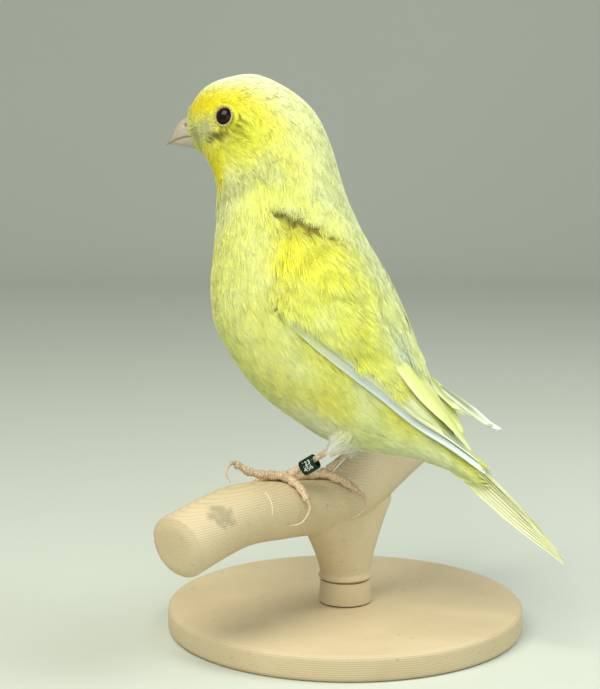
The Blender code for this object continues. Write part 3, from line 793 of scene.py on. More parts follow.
def loft(name: str, rings: np.ndarray, endless: bool = False) -> Object:
    """Closed smooth body through rings of equal length.

    Args:
        name: Name of the object.
        rings: Array of ring, point and x, y, z, in millimetres.
        endless: Whether the last ring leads back to the first.

    Returns:
        The object.
    """
    count = len(rings)
    first = np.arange(count if endless else count - 1)
    obj = mesh_object(name, rings.reshape(-1, 3), join_grid(first, (first + 1) % count, rings.shape[1]))
    close_and_turn_out(obj)
    return obj


def circle_rings(middle: np.ndarray, side: np.ndarray, rise: np.ndarray, radii: np.ndarray) -> np.ndarray:
    """Rings round points.

    Args:
        middle: Middle of each ring.
        side: Direction of the first point of each ring.
        rise: Direction a quarter turn on.
        radii: Radius of each ring, or of each point of each ring.

    Returns:
        Array of ring, point and x, y, z.
    """
    turn = turns(radii.shape[1])[None, :, None]
    out = side[:, None] * np.cos(turn) + rise[:, None] * np.sin(turn)
    return middle[:, None] + out * radii[..., None]


def tube_rings(path: np.ndarray, radii: np.ndarray, sides: int) -> np.ndarray:
    """Rings round a path, which follow it without a twist.

    Args:
        path: Points of its middle line.
        radii: For each point a radius, or a radius at each side.
        sides: Points of a ring.

    Returns:
        Array of ring, point and x, y, z.
    """
    ahead = unit(np.gradient(path, axis=0))
    side = np.cross(ahead[0], UP)
    sideways = []
    for way in ahead:
        side = unit(side - way * (side @ way))
        sideways.append(side)
    side = np.array(sideways)
    radii = np.broadcast_to(np.asarray(radii, float).reshape(len(path), -1), (len(path), sides))
    return circle_rings(path, side, np.cross(side, ahead), radii)


def fuse(obj: Object, others: list, voxel: float, smoothing: int) -> None:
    """Join closed bodies, and grow one even skin over them all.

    Args:
        obj: Piece that keeps its name.
        others: Pieces that are joined to it.
        voxel: Size of the skin's cells in millimetres.
        smoothing: How many times the skin is smoothed.
    """
    choose(obj)
    for other in others:
        other.select_set(True)
    bpy.ops.object.join()
    remesh = obj.modifiers.new("skin", "REMESH")
    remesh.mode = "VOXEL"
    remesh.voxel_size = voxel * MM
    remesh.use_smooth_shade = True
    even = obj.modifiers.new("even", "SMOOTH")
    even.iterations = smoothing
    even.factor = 0.5
    apply_modifiers(obj)


def settle(obj: Object, slot: Slot, material: Material, *nodes: str) -> None:
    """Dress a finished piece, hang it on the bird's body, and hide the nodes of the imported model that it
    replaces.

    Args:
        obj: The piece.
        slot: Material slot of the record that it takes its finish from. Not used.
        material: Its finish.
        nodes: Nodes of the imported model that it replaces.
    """
    obj.data.materials.clear()
    obj.data.materials.append(material)
    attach(obj, BODY)
    if nodes:
        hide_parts(*nodes)
    LOG.info("%s: %s polygons", obj.name, len(obj.data.polygons))


# The bird's body

BIRD_Y = -12.5
STATIONS = (  # back x and z, belly x and z, half width, how far up it is widest
    (-33.5, 120.5, -30.5, 113.0, 3.6, 0.50),
    (-32.5, 124.0, -29.0, 111.0, 5.8, 0.48),
    (-29.5, 127.5, -27.5, 108.0, 7.8, 0.46),
    (-24.5, 129.5, -26.5, 105.0, 9.2, 0.45),
    (-18.0, 130.0, -26.5, 101.5, 10.0, 0.45),
    (-10.5, 126.5, -27.0, 98.0, 10.4, 0.46),
    (-5.0, 121.5, -27.5, 93.5, 11.0, 0.48),
    (-1.5, 114.0, -28.0, 88.0, 12.4, 0.50),
    (1.5, 104.0, -28.5, 81.5, 14.2, 0.52),
    (5.0, 96.0, -27.5, 74.0, 15.6, 0.54),
    (9.0, 87.0, -23.5, 66.5, 16.2, 0.55),
    (12.5, 78.5, -17.0, 58.5, 15.8, 0.55),
    (15.5, 70.5, -9.0, 52.5, 14.2, 0.55),
    (18.5, 63.0, 0.0, 47.5, 12.0, 0.54),
    (21.5, 56.5, 10.0, 45.5, 9.6, 0.52),
    (25.0, 51.5, 18.5, 44.5, 7.4, 0.50),
    (29.0, 47.5, 25.5, 42.5, 5.8, 0.50),
    (33.0, 44.0, 31.0, 39.8, 4.6, 0.50),
    (37.0, 40.5, 35.5, 36.8, 3.8, 0.50),
)
LAST_STATION = len(STATIONS) - 1
SECTION_POWER = 2.2
EYE_STATION = 3.4
EYE_ANGLE = 69.0
PAD_FRONT = ((9.0, 96), (8.0, 87), (7.8, 70), (8.4, 50), (9.3, 31))
PAD_REAR = ((10.2, 93), (11.0, 80), (11.7, 62), (12.2, 44), (12.3, 27))
PAD_EDGE = 0.4  # how far the pad of the folded arm stands off at its rim
PAD_THICK = 1.9  # how much more it stands off in its middle
SLOPE_STEP = 0.05  # stations


class BodyForm:
    """Outer surface of the plumage, read by station and angle."""

    def section(self, station: np.ndarray) -> tuple[np.ndarray, np.ndarray, np.ndarray, np.ndarray]:
        """Read the body's sections.

        Args:
            station: Stations.

        Returns:
            Belly edges, spans from there to the back, half widths, and how far up they are widest.
        """
        rows = smooth_rows(STATIONS, station)
        middle = np.full(rows.shape[:-1], BIRD_Y)
        belly = np.stack((rows[..., 2], middle, rows[..., 3]), -1)
        depth = np.stack((rows[..., 0] - rows[..., 2], 0 * middle, rows[..., 1] - rows[..., 3]), -1)
        return belly, depth, rows[..., 4], rows[..., 5]

    def point(self, station: np.ndarray, angle: np.ndarray) -> np.ndarray:
        """Find points of the surface.

        Args:
            station: Stations.
            angle: Angles.

        Returns:
            Rows of x, y, z.
        """
        station, angle = np.broadcast_arrays(np.asarray(station, float), np.asarray(angle, float))
        belly, depth, half_width, widest = self.section(station)
        up = np.cos(np.radians(angle))
        side = np.sin(np.radians(angle))
        share = np.where(up >= 0, 1 - widest, widest)
        power = 2 / SECTION_POWER
        made = belly + depth * (widest + share * bent(up, power))[..., None]
        made[..., 1] -= half_width * bent(side, power)
        return made

    def slopes(self, station: np.ndarray, angle: np.ndarray) -> tuple[np.ndarray, np.ndarray]:
        """Find how places on the surface change.

        Args:
            station: Stations.
            angle: Angles.

        Returns:
            Change of place for one station and for one degree.
        """
        step = SLOPE_STEP
        station = np.clip(station, step, LAST_STATION - step)
        along = (self.point(station + step, angle) - self.point(station - step, angle)) / (2 * step)
        around = (self.point(station, angle + 1) - self.point(station, angle - 1)) / 2
        return along, around

    def normal(self, station: np.ndarray, angle: np.ndarray) -> np.ndarray:
        """Outward directions of the surface."""
        along, around = self.slopes(station, angle)
        return unit(np.cross(around, along))

    def lifted(self, station: np.ndarray, angle: np.ndarray, lift: np.ndarray) -> np.ndarray:
        """Points that stand off the surface."""
        return self.point(station, angle) + self.normal(station, angle) * np.asarray(lift)[..., None]

    def place(self, points: np.ndarray) -> tuple[np.ndarray, np.ndarray]:
        """Find where on the surface points lie.

        Args:
            points: Rows of x, y, z.

        Returns:
            The stations and angles that they lie over.
        """
        points = np.asarray(points, float)
        low = np.zeros(points.shape[:-1])
        high = np.full(points.shape[:-1], float(LAST_STATION))
        for _ in range(20):
            middle = (low + high) / 2
            belly, depth, _, _ = self.section(middle)
            offset = points - belly
            beyond = depth[..., 2] * offset[..., 0] - depth[..., 0] * offset[..., 2] > 0
            low = np.where(beyond, middle, low)
            high = np.where(beyond, high, middle)
        belly, depth, half_width, widest = self.section(low)
        offset = points - belly
        height = (offset * depth).sum(-1) / (depth * depth).sum(-1) - widest
        up = height / np.where(height >= 0, 1 - widest, widest)
        side = (belly[..., 1] - points[..., 1]) / half_width
        power = SECTION_POWER / 2
        return low, np.degrees(np.arctan2(bent(side, power), bent(up, power)))

    def shoulder(self, station: np.ndarray, angle: np.ndarray) -> np.ndarray:
        """Find how far the pad of the folded arm stands off the surface.

        Args:
            station: Stations.
            angle: Angles.

        Returns:
            Millimetres, which are 0 outside the pad.
        """
        size = np.abs(angle)
        front = np.array(PAD_FRONT, float)
        rear = np.array(PAD_REAR, float)
        last = len(front) - 1
        j = np.full(np.shape(station), 0.5)
        i = np.full(np.shape(station), 0.5)
        for _ in range(3):
            edge = front[:, 1][None] * (1 - i[..., None]) + rear[:, 1][None] * i[..., None]
            j = np.clip((edge[..., 0] - size) / (edge[..., 0] - edge[..., -1]), 0, 1)
            start = smooth_rows(front, j * last)[..., 0]
            end = smooth_rows(rear, j * last)[..., 0]
            i = np.clip((station - start) / (end - start), 0, 1)
        swell = (1 - np.abs(2 * i - 1) ** 3) * (1 - np.abs(2 * j - 1) ** 3)
        lift = (PAD_EDGE + PAD_THICK * np.maximum(swell, 0) ** 0.6) * (0.2 + 0.8 * ramp(size, 27, 58))
        return np.where((i > 0) & (i < 1) & (j > 0) & (j < 1), lift, 0.0)


FORM = BodyForm()

# Lines of station and angle over the body, and how full its feathers are.
CREASE = ((7.3, 82), (7.5, 76), (7.7, 70), (7.95, 62), (8.4, 49), (8.85, 37), (9.3, 28))
CREASE_WIDTH = ((28, 50, 68, 80), (0.1, 0.15, 0.26, 0.3))  # in stations, by angle
COLLAR = ((6.2, 70), (6.1, 80), (5.5, 97), (5.0, 112), (4.75, 124), (4.7, 180))  # fold under the cheek
COLLAR_WIDTH = 0.2  # stations
WING_LOWER = ((9.4, 98), (10.0, 96), (10.8, 89), (12.0, 79), (13.4, 66), (15.1, 58), (17.3, 60))
WING_UPPER = ((8.6, 46), (9.3, 31), (10.6, 22), (12.0, 10), (13.4, 6), (15.0, 3), (16.8, 14))
MANTLE = 1.7  # how much fuller the middle of the back is than the model's solid, in millimetres
WING_FULLNESS = ((12, 24, 44, 85, 97), (0.3, 0.7, 1.8, 1.7, 1.0))  # millimetres of the folded wing, by angle


def crease(station: np.ndarray, angle: np.ndarray) -> np.ndarray:
    """How deep a place lies in the hollow before the shoulder, from 0 to 1.

    Args:
        station: Stations.
        angle: Angles.

    Returns:
        The depths.
    """
    size = np.abs(angle)
    ends = ramp(size, 32, 46) * (1 - ramp(size, 76, 86))
    return ends * hump((station - read_line(CREASE, size, 1)) / np.interp(size, *CREASE_WIDTH))


def collar(station: np.ndarray, angle: np.ndarray) -> np.ndarray:
    """How near a place is to the shallow fold under cheek and throat, from 0 to 1."""
    size = np.abs(angle)
    return ramp(size, 58, 76) * hump((station - read_line(COLLAR, size, 1)) / COLLAR_WIDTH)


def to_crease(station: np.ndarray, angle: np.ndarray) -> np.ndarray:
    """Stations from a place to the hollow behind it, and FAR where there is none.

    Args:
        station: Stations.
        angle: Angles.

    Returns:
        The distances.
    """
    size = np.abs(angle)
    ahead = read_line(CREASE, size, 1) - station
    return np.where((size > 27) & (size < 84) & (ahead > 0), ahead, FAR)


def to_blade(station: np.ndarray, angle: np.ndarray) -> np.ndarray:
    """Stations from a place to the bare root of the outer primary, and FAR where it isn't behind.

    Args:
        station: Stations.
        angle: Angles.

    Returns:
        The distances.
    """
    size = np.abs(angle)
    ahead = WING_LOWER[0][0] + 0.2 - station
    return np.where((size > 84) & (size < 100) & (ahead > 0), ahead, FAR)


def mantle(station: np.ndarray, angle: np.ndarray) -> np.ndarray:
    """How much fuller the feathers of the middle of the back are than its solid form."""
    middle = 1 - ramp(np.abs(angle), 14, 46)
    return MANTLE * middle * ramp(station, 8.2, 10.6) * (1 - ramp(station, 12.0, 13.8))


def wing_lift(station: np.ndarray, angle: np.ndarray) -> np.ndarray:
    """Find how far the folded wing's coverts stand off the body's surface, less on the right.

    Args:
        station: Stations.
        angle: Angles.

    Returns:
        Millimetres.
    """
    size = np.abs(angle)
    vanes = ramp(station, 9.2, 10.4) * np.interp(size, *WING_FULLNESS)
    vanes = np.where(angle < 0, vanes * np.interp(size, (20, 60), (0.4, 1.0)), vanes)
    return np.maximum(FORM.shoulder(station, angle), vanes) + mantle(station, angle)


def scapular_lift(station: np.ndarray, angle: np.ndarray) -> np.ndarray:
    """Find how far the back's feathers stand off over a wing's upper edge, less on the right.

    Args:
        station: Stations.
        angle: Angles.

    Returns:
        Millimetres.
    """
    size = np.abs(angle)
    edge = read_line(WING_UPPER, station)
    most = np.where(angle < 0, 0.7, 1.1) * (size < 60)
    return most * ramp(size, edge - 18, edge + 2) * ramp(station, 8.6, 9.8) * (1 - ramp(station, 12.2, 13.8))


def under_wing(station: np.ndarray, angle: np.ndarray, margin: float) -> np.ndarray:
    """Tell which places a folded wing covers. The right wing is clear of the body behind its raised root.

    Args:
        station: Stations.
        angle: Angles.
        margin: How far inside its upper edge a place has to be, in degrees.

    Returns:
        Whether each place is covered.
    """
    size = np.abs(angle)
    lifted_off = (angle < 0) & (station > 12.3)
    below_edge = size > read_line(WING_UPPER, station) + margin
    return (station > 9.6) & (size < read_line(WING_LOWER, station)) & below_edge & ~lifted_off


# Markings


def folded_size(angle: np.ndarray) -> np.ndarray:
    """Size of angles, which may go past 180 degrees."""
    return np.abs((np.asarray(angle) + 180) % 360 - 180)


def nearness(station: np.ndarray, size: np.ndarray, spot: tuple, reach: tuple) -> np.ndarray:
    """How near places are to the middle of a soft-edged spot, from 1 in its middle to 0.

    Args:
        station: Stations.
        size: Sizes of angles, as the spot is alike on both sides.
        spot: Station and angle of its middle.
        reach: Half its length in stations and half its width in degrees.

    Returns:
        The shares.
    """
    away = ((station - spot[0]) / reach[0]) ** 2 + ((size - spot[1]) / reach[1]) ** 2
    return np.exp(-(away**1.4) * 0.7)


@dataclass(frozen=True)
class Patch:
    """One soft-edged patch of the plumage, alike on both sides.

    Attributes:
        station: Middle along the body.
        angle: Middle round the body.
        long: Half its length in stations.
        wide: Half its width in degrees.
        colour: Hex colour.
        strength: How much of its colour shows in the middle.
    """

    station: float
    angle: float
    long: float
    wide: float
    colour: str
    strength: float = 1.0

    def share(self, station: np.ndarray, size: np.ndarray) -> np.ndarray:
        """How much of the patch shows at places given by station and size of angle."""
        return self.strength * nearness(station, size, (self.station, self.angle), (self.long, self.wide))


@dataclass(frozen=True)
class Markings:
    """Colours of a lemon-yellow canary with frosted feather tips, from the ground colour up, with painted
    shade in the hollow before the shoulder and in the fold under the cheek.
    """

    ground: str = "E7EE66"
    patches: tuple = (
        Patch(12.0, 180, 3.6, 70, "E4EDA0", 0.9),  # belly
        Patch(15.6, 180, 2.4, 90, "E8F1C0", 1.0),  # vent
        Patch(12.4, 146, 0.9, 26, "F0F5D2", 0.85),  # round the thighs
        Patch(9.0, 150, 2.6, 45, "E5ED62", 0.7),  # lower breast
        Patch(7.0, 105, 1.4, 30, "ECF25E", 0.8),  # upper breast
        Patch(5.3, 130, 0.9, 60, "E4EC9C", 0.9),  # pale lower throat
        Patch(3.5, 125, 1.0, 34, "E4DC0C", 0.95),  # chin
        Patch(4.8, 76, 0.9, 18, "EAEC2E", 0.95),  # cheek
        Patch(5.3, 60, 0.6, 14, "EBEF30", 0.9),  # side of the head
        Patch(4.3, 50, 1.3, 9, "F6EE00", 1.0),  # stripe over and behind the eye
        Patch(2.3, 54, 1.0, 17, "F2E600", 1.0),  # brow
        Patch(1.4, 40, 0.8, 22, "EEE000", 1.0),  # forehead
        Patch(3.7, 8, 1.7, 21, "F3FAD2", 1.0),  # frosted crown
        Patch(6.2, 18, 2.0, 32, "E8F084", 0.85),  # nape
        Patch(8.7, 78, 0.6, 15, "FCF800", 1.0),  # bend of the wing
        Patch(9.5, 64, 0.6, 12, "F2EE00", 0.9),  # streak behind it
        Patch(10.2, 56, 1.0, 26, "E8F054", 0.6),  # lesser coverts
        Patch(11.9, 50, 0.6, 18, "E9EE4C", 0.7),  # ends of the coverts
        Patch(10.9, 124, 0.8, 12, "E6E038", 0.5),  # warm spots on the flank
        Patch(12.2, 108, 0.6, 10, "E6DE34", 0.6),
        Patch(9.6, 112, 0.6, 10, "E8E84A", 0.5),
        Patch(10.5, 0, 3.4, 26, "EEF8AC", 0.9),  # back
        Patch(12.3, 28, 0.6, 9, "DCEFC8", 0.8),  # pale upper edge of the folded wing
        Patch(15.8, 0, 1.6, 60, "E6ED66", 0.9),  # rump
        Patch(2.2, 84, 0.6, 12, "B6B98C", 0.8),  # lore
        Patch(1.1, 92, 0.6, 14, "BDBE96", 0.85),  # gape
    )
    fleck: str = "463C04"
    flecks: tuple = (  # station, angle and strength of the dark streaks under and behind the eye
        (2.5, 95, 0.7),
        (2.7, 91, 0.9),
        (2.95, 88, 0.9),
        (3.15, 86, 0.9),
        (3.4, 88, 0.8),
        (3.5, 84.5, 0.9),
        (3.75, 82, 0.8),
        (3.95, 77, 0.9),
        (4.1, 72, 0.9),
        (4.25, 67, 0.8),
        (4.5, 75, 0.5),
        (4.4, 81, 0.4),
        (3.8, 92, 0.35),
    )
    fleck_reach: tuple = (0.34, 1.5)
    # Painted shade in the hollow before the shoulder: its colour and how much of it shows.
    hollow: str = "6E5A22"
    hollow_strength: float = 0.85
    # Painted shade in the shallow fold under the cheek: its colour and how much of it shows.
    fold: str = "ADAA34"  # of the fold under the cheek
    fold_strength: float = 0.2
    warm: str = "ECE524"  # of the blotches that show the feathers' full yellow
    pale: str = "E9F2AE"  # of those that show their frosted tips
    frosted: tuple = (  # station, angle, half length, half width and strength of the whitest tips
        (3.9, 8, 1.5, 24, 0.6),  # crown
        (6.4, 20, 2.0, 34, 0.45),  # nape
        (8.0, 120, 2.4, 50, 0.32),  # breast
        (5.3, 110, 1.2, 30, 0.18),  # throat
    )
    frost_least: float = 0.05
    waves: int = 7
    wave_mm: tuple = (6, 18)
    seed: int = 11

    def colour(self, station: np.ndarray, angle: np.ndarray) -> np.ndarray:
        """Find the colour of the plumage, with painted shade in the fold under the cheek.

        Args:
            station: Stations.
            angle: Angles.

        Returns:
            Linear colours.
        """
        size = folded_size(angle)
        station = np.asarray(station, float)
        made = np.broadcast_to(rgb(self.ground), (*station.shape, 3)).copy()
        blotch = self.blotch(station, size)
        made = shade(made, rgb(self.warm), 0.55 * ramp(blotch, 0.15, 0.9))
        made = shade(made, rgb(self.pale), 0.6 * ramp(-blotch, 0.15, 0.9))
        for patch in self.patches:
            made = shade(made, rgb(patch.colour), patch.share(station, size))
        for at, turn, strength in self.flecks:
            share = strength * nearness(station, size, (at, turn), self.fleck_reach)
            made = shade(made, rgb(self.fleck), share)
        # Painted shade in the fold under the cheek.
        return shade(made, rgb(self.fold), self.fold_strength * collar(station, size))

    def shaded(self, colour: np.ndarray, station: np.ndarray, angle: np.ndarray) -> np.ndarray:
        """Paint shade on the colours of what is rooted in the hollow before the shoulder, where shade falls.
        """
        return shade(colour, rgb(self.hollow), self.hollow_strength * crease(station, angle))

    def blotch(self, station: np.ndarray, size: np.ndarray) -> np.ndarray:
        """Lay slow random waves over the body.

        Args:
            station: Stations.
            size: Sizes of angles.

        Returns:
            Heights of the waves, about from -1 to 1.
        """
        points = FORM.point(np.clip(station, 0, LAST_STATION), size)
        rng = np.random.default_rng(self.seed)
        made = np.zeros(np.shape(station))
        for _ in range(self.waves):
            way = unit(rng.normal(0, 1, 3))
            wave = rng.uniform(*self.wave_mm)
            made = made + np.sin(points @ way * 2 * np.pi / wave + rng.uniform(0, 6.28)) / 2.2
        return made

    def frost(self, station: np.ndarray, angle: np.ndarray) -> np.ndarray:
        """Find how white the feathers' tips are.

        Args:
            station: Stations.
            angle: Angles.

        Returns:
            Shares from 0 to 1.
        """
        size = folded_size(angle)
        made = np.zeros(np.shape(station))
        for at, turn, long, wide, strength in self.frosted:
            made = made + strength * nearness(station, size, (at, turn), (long, wide))
        return np.clip(made + self.frost_least, 0, 1)


MARKINGS = Markings()
FROST = rgb("F2F8D2")
THIGH_WHITE = rgb("F5F8E2")
THIGH_YELLOW = rgb("EEF2A0")


# Skin

BODY_DEPTH = 0.65
FACE_DEPTH = 0.3
SKIN_END = 16.2
SKIN_CAP = 0.03  # share of the skin at each end that closes it
THIGH_SPOT = (12.0, 150.0)  # station and angle of the thighs
THIGH_SHAPE = ((-0.9, 1.3), (-0.4, 2.1), (0.6, 2.9), (2.0, 3.6), (4.0, 4.2), (7.0, 4.8), (10.0, 5.0))


def coat_depth(station: np.ndarray) -> np.ndarray:
    """How far the skin lies inside the coat's outer surface."""
    return mix(FACE_DEPTH, BODY_DEPTH, ramp(station, 1.5, 7.0))


def skin_spot(station: np.ndarray, angle: np.ndarray) -> np.ndarray:
    """Place on the skin's unwrap."""
    return np.stack((((np.asarray(angle) + 180) % 360) / 360, np.asarray(station) / LAST_STATION), -1)


def thigh_line(word: str) -> tuple[np.ndarray, np.ndarray]:
    """Ankle of a side's leg, and the way from it to the knee."""
    ankle = np.array(FEET[word]["ankle"])
    return ankle, unit(np.array(FEET[word]["knee"]) - ankle)


@dataclass
class Skin:
    """One skin under the whole coat, drawn from a sphere, with the coat's own markings on it, darkened as
    painted shade.
    """

    rings: int = 96
    sides: int = 72
    # Painted shade: the skin is darker than the coat, and the thighs' skin darker than their down, as both
    # lie in the coat's shade.
    tone: float = 0.95  # how dark it is against the coat
    thigh_tone: float = 0.85
    thigh_inset: float = 0.9
    hollow: float = 0.7

    def build(self, finish: Material) -> None:
        """Build the skin of head, neck, torso and thighs, which replaces those nodes.

        Args:
            finish: Material of the plumage.
        """
        skin = self.trunk()
        thighs = [self.thigh(side) for side in Side]
        choose(skin)
        for thigh in thighs:
            thigh.select_set(True)
        bpy.ops.object.join()
        close_and_turn_out(skin)
        settle(skin, Slot.PLUMAGE, finish, "head", "neck", "torso", "thigh_left", "thigh_right")

    def trunk(self) -> Object:
        """Draw the skin of head, neck and torso.

        Returns:
            The piece.
        """
        deselect()
        bpy.ops.mesh.primitive_uv_sphere_add(segments=self.sides, ring_count=self.rings, radius=1)
        skin = bpy.context.object
        skin.name = skin.data.name = "skin"
        ball = read_points(skin)
        share = np.arccos(np.clip(ball[:, 2], -1, 1)) / np.pi
        angle = np.degrees(np.arctan2(ball[:, 1], ball[:, 0]))
        station = SKIN_END * np.clip((share - SKIN_CAP) / (1 - 2 * SKIN_CAP), 0, 1)
        pinch = np.minimum(ramp(share, 0, SKIN_CAP), ramp(1 - share, 0, SKIN_CAP))
        inset = FORM.lifted(station, angle, -coat_depth(station) - self.hollow * crease(station, angle))
        belly, depth, _, widest = FORM.section(station)
        core = belly + depth * widest[:, None]
        move_points(skin, core + (inset - core) * pinch[:, None])
        # Painted shade: the coat's colours darkened, with the painted shade of the hollow before the
        # shoulder.
        set_tint(skin, MARKINGS.shaded(MARKINGS.colour(station, angle), station, angle) * self.tone)
        self.unwrap(skin, station, angle)
        return skin

    def unwrap(self, skin: Object, station: np.ndarray, angle: np.ndarray) -> None:
        """Lay the bake map by station and angle, with no face that runs over its seam.

        Args:
            skin: The piece.
            station: Station of each point.
            angle: Angle of each point.
        """
        layer = skin.data.uv_layers[0]
        layer.name = BAKE_MAP
        spots = skin_spot(station, angle)[corner_points(skin.data)]
        faces = np.repeat(np.arange(len(skin.data.polygons)), [len(p.vertices) for p in skin.data.polygons])
        middle = np.bincount(faces, spots[:, 0]) / np.bincount(faces)
        spots[:, 0] += np.round(middle[faces] - spots[:, 0])
        layer.data.foreach_set("uv", spots.astype(np.float32).ravel())

    def thigh(self, side: Side) -> Object:
        """Draw the skin of one thigh.

        Args:
            side: Side of the bird.

        Returns:
            The piece.
        """
        ankle, back = thigh_line(side.word)
        path = np.array([ankle + back * along for along, _ in THIGH_SHAPE])
        radii = [max(radius - self.thigh_inset, 0.5) for _, radius in THIGH_SHAPE]
        thigh = loft(f"thigh_skin_{side.word}", tube_rings(path, radii, 24))
        # Painted shade: the thigh's skin is darker than its white down.
        set_tint(thigh, THIGH_WHITE * self.thigh_tone)
        spot = skin_spot(np.array([THIGH_SPOT[0]]), np.array([THIGH_SPOT[1] * side.value]))
        set_map(thigh, BAKE_MAP, np.repeat(spot, len(thigh.data.vertices), 0))
        return thigh


# Coat


@dataclass
class Tufts:
    """Small feathers to be grown, with one number of each kind for every feather.

    Lengths are millimetres. A yaw is the turn in degrees from the way to the tail towards the belly.

    Attributes:
        station: Station of the root.
        angle: Angle of the root.
        length: Length of the feather.
        width: Width of the feather.
        yaw: Turn of the feather.
        barbs: How many barbs it has.
        depth: How deep it is rooted.
        rise: How far its tip stands off.
        base: How far the whole feather stands off the body's form.
        climb: How much more it stands off for each station past RAISE_FROM.
        frost: How white its tip is.
        tone: How light it is.
        loose: How untidy its barbs are.
    """

    station: np.ndarray
    angle: np.ndarray
    length: np.ndarray
    width: np.ndarray
    yaw: np.ndarray
    barbs: np.ndarray
    depth: np.ndarray
    rise: np.ndarray
    base: np.ndarray
    climb: np.ndarray
    frost: np.ndarray
    tone: np.ndarray
    loose: np.ndarray

    def part(self, keep: np.ndarray) -> Tufts:
        """Some of the tufts."""
        return Tufts(*(getattr(self, name)[keep] for name in self.__dataclass_fields__))


@dataclass
class Barbs:
    """Barbs to be drawn as closed spindles.

    Attributes:
        points: Their roots, middles and tips.
        normals: Outward directions at the same three places.
        thick: Their widths.
        roll: How far each leans to its side.
        colours: Linear colours of their lower parts and of their tips.
        bake: Places on the bake map, five for each.
    """

    points: list[np.ndarray]
    normals: list[np.ndarray]
    thick: np.ndarray
    roll: np.ndarray
    colours: tuple[np.ndarray, np.ndarray]
    bake: np.ndarray


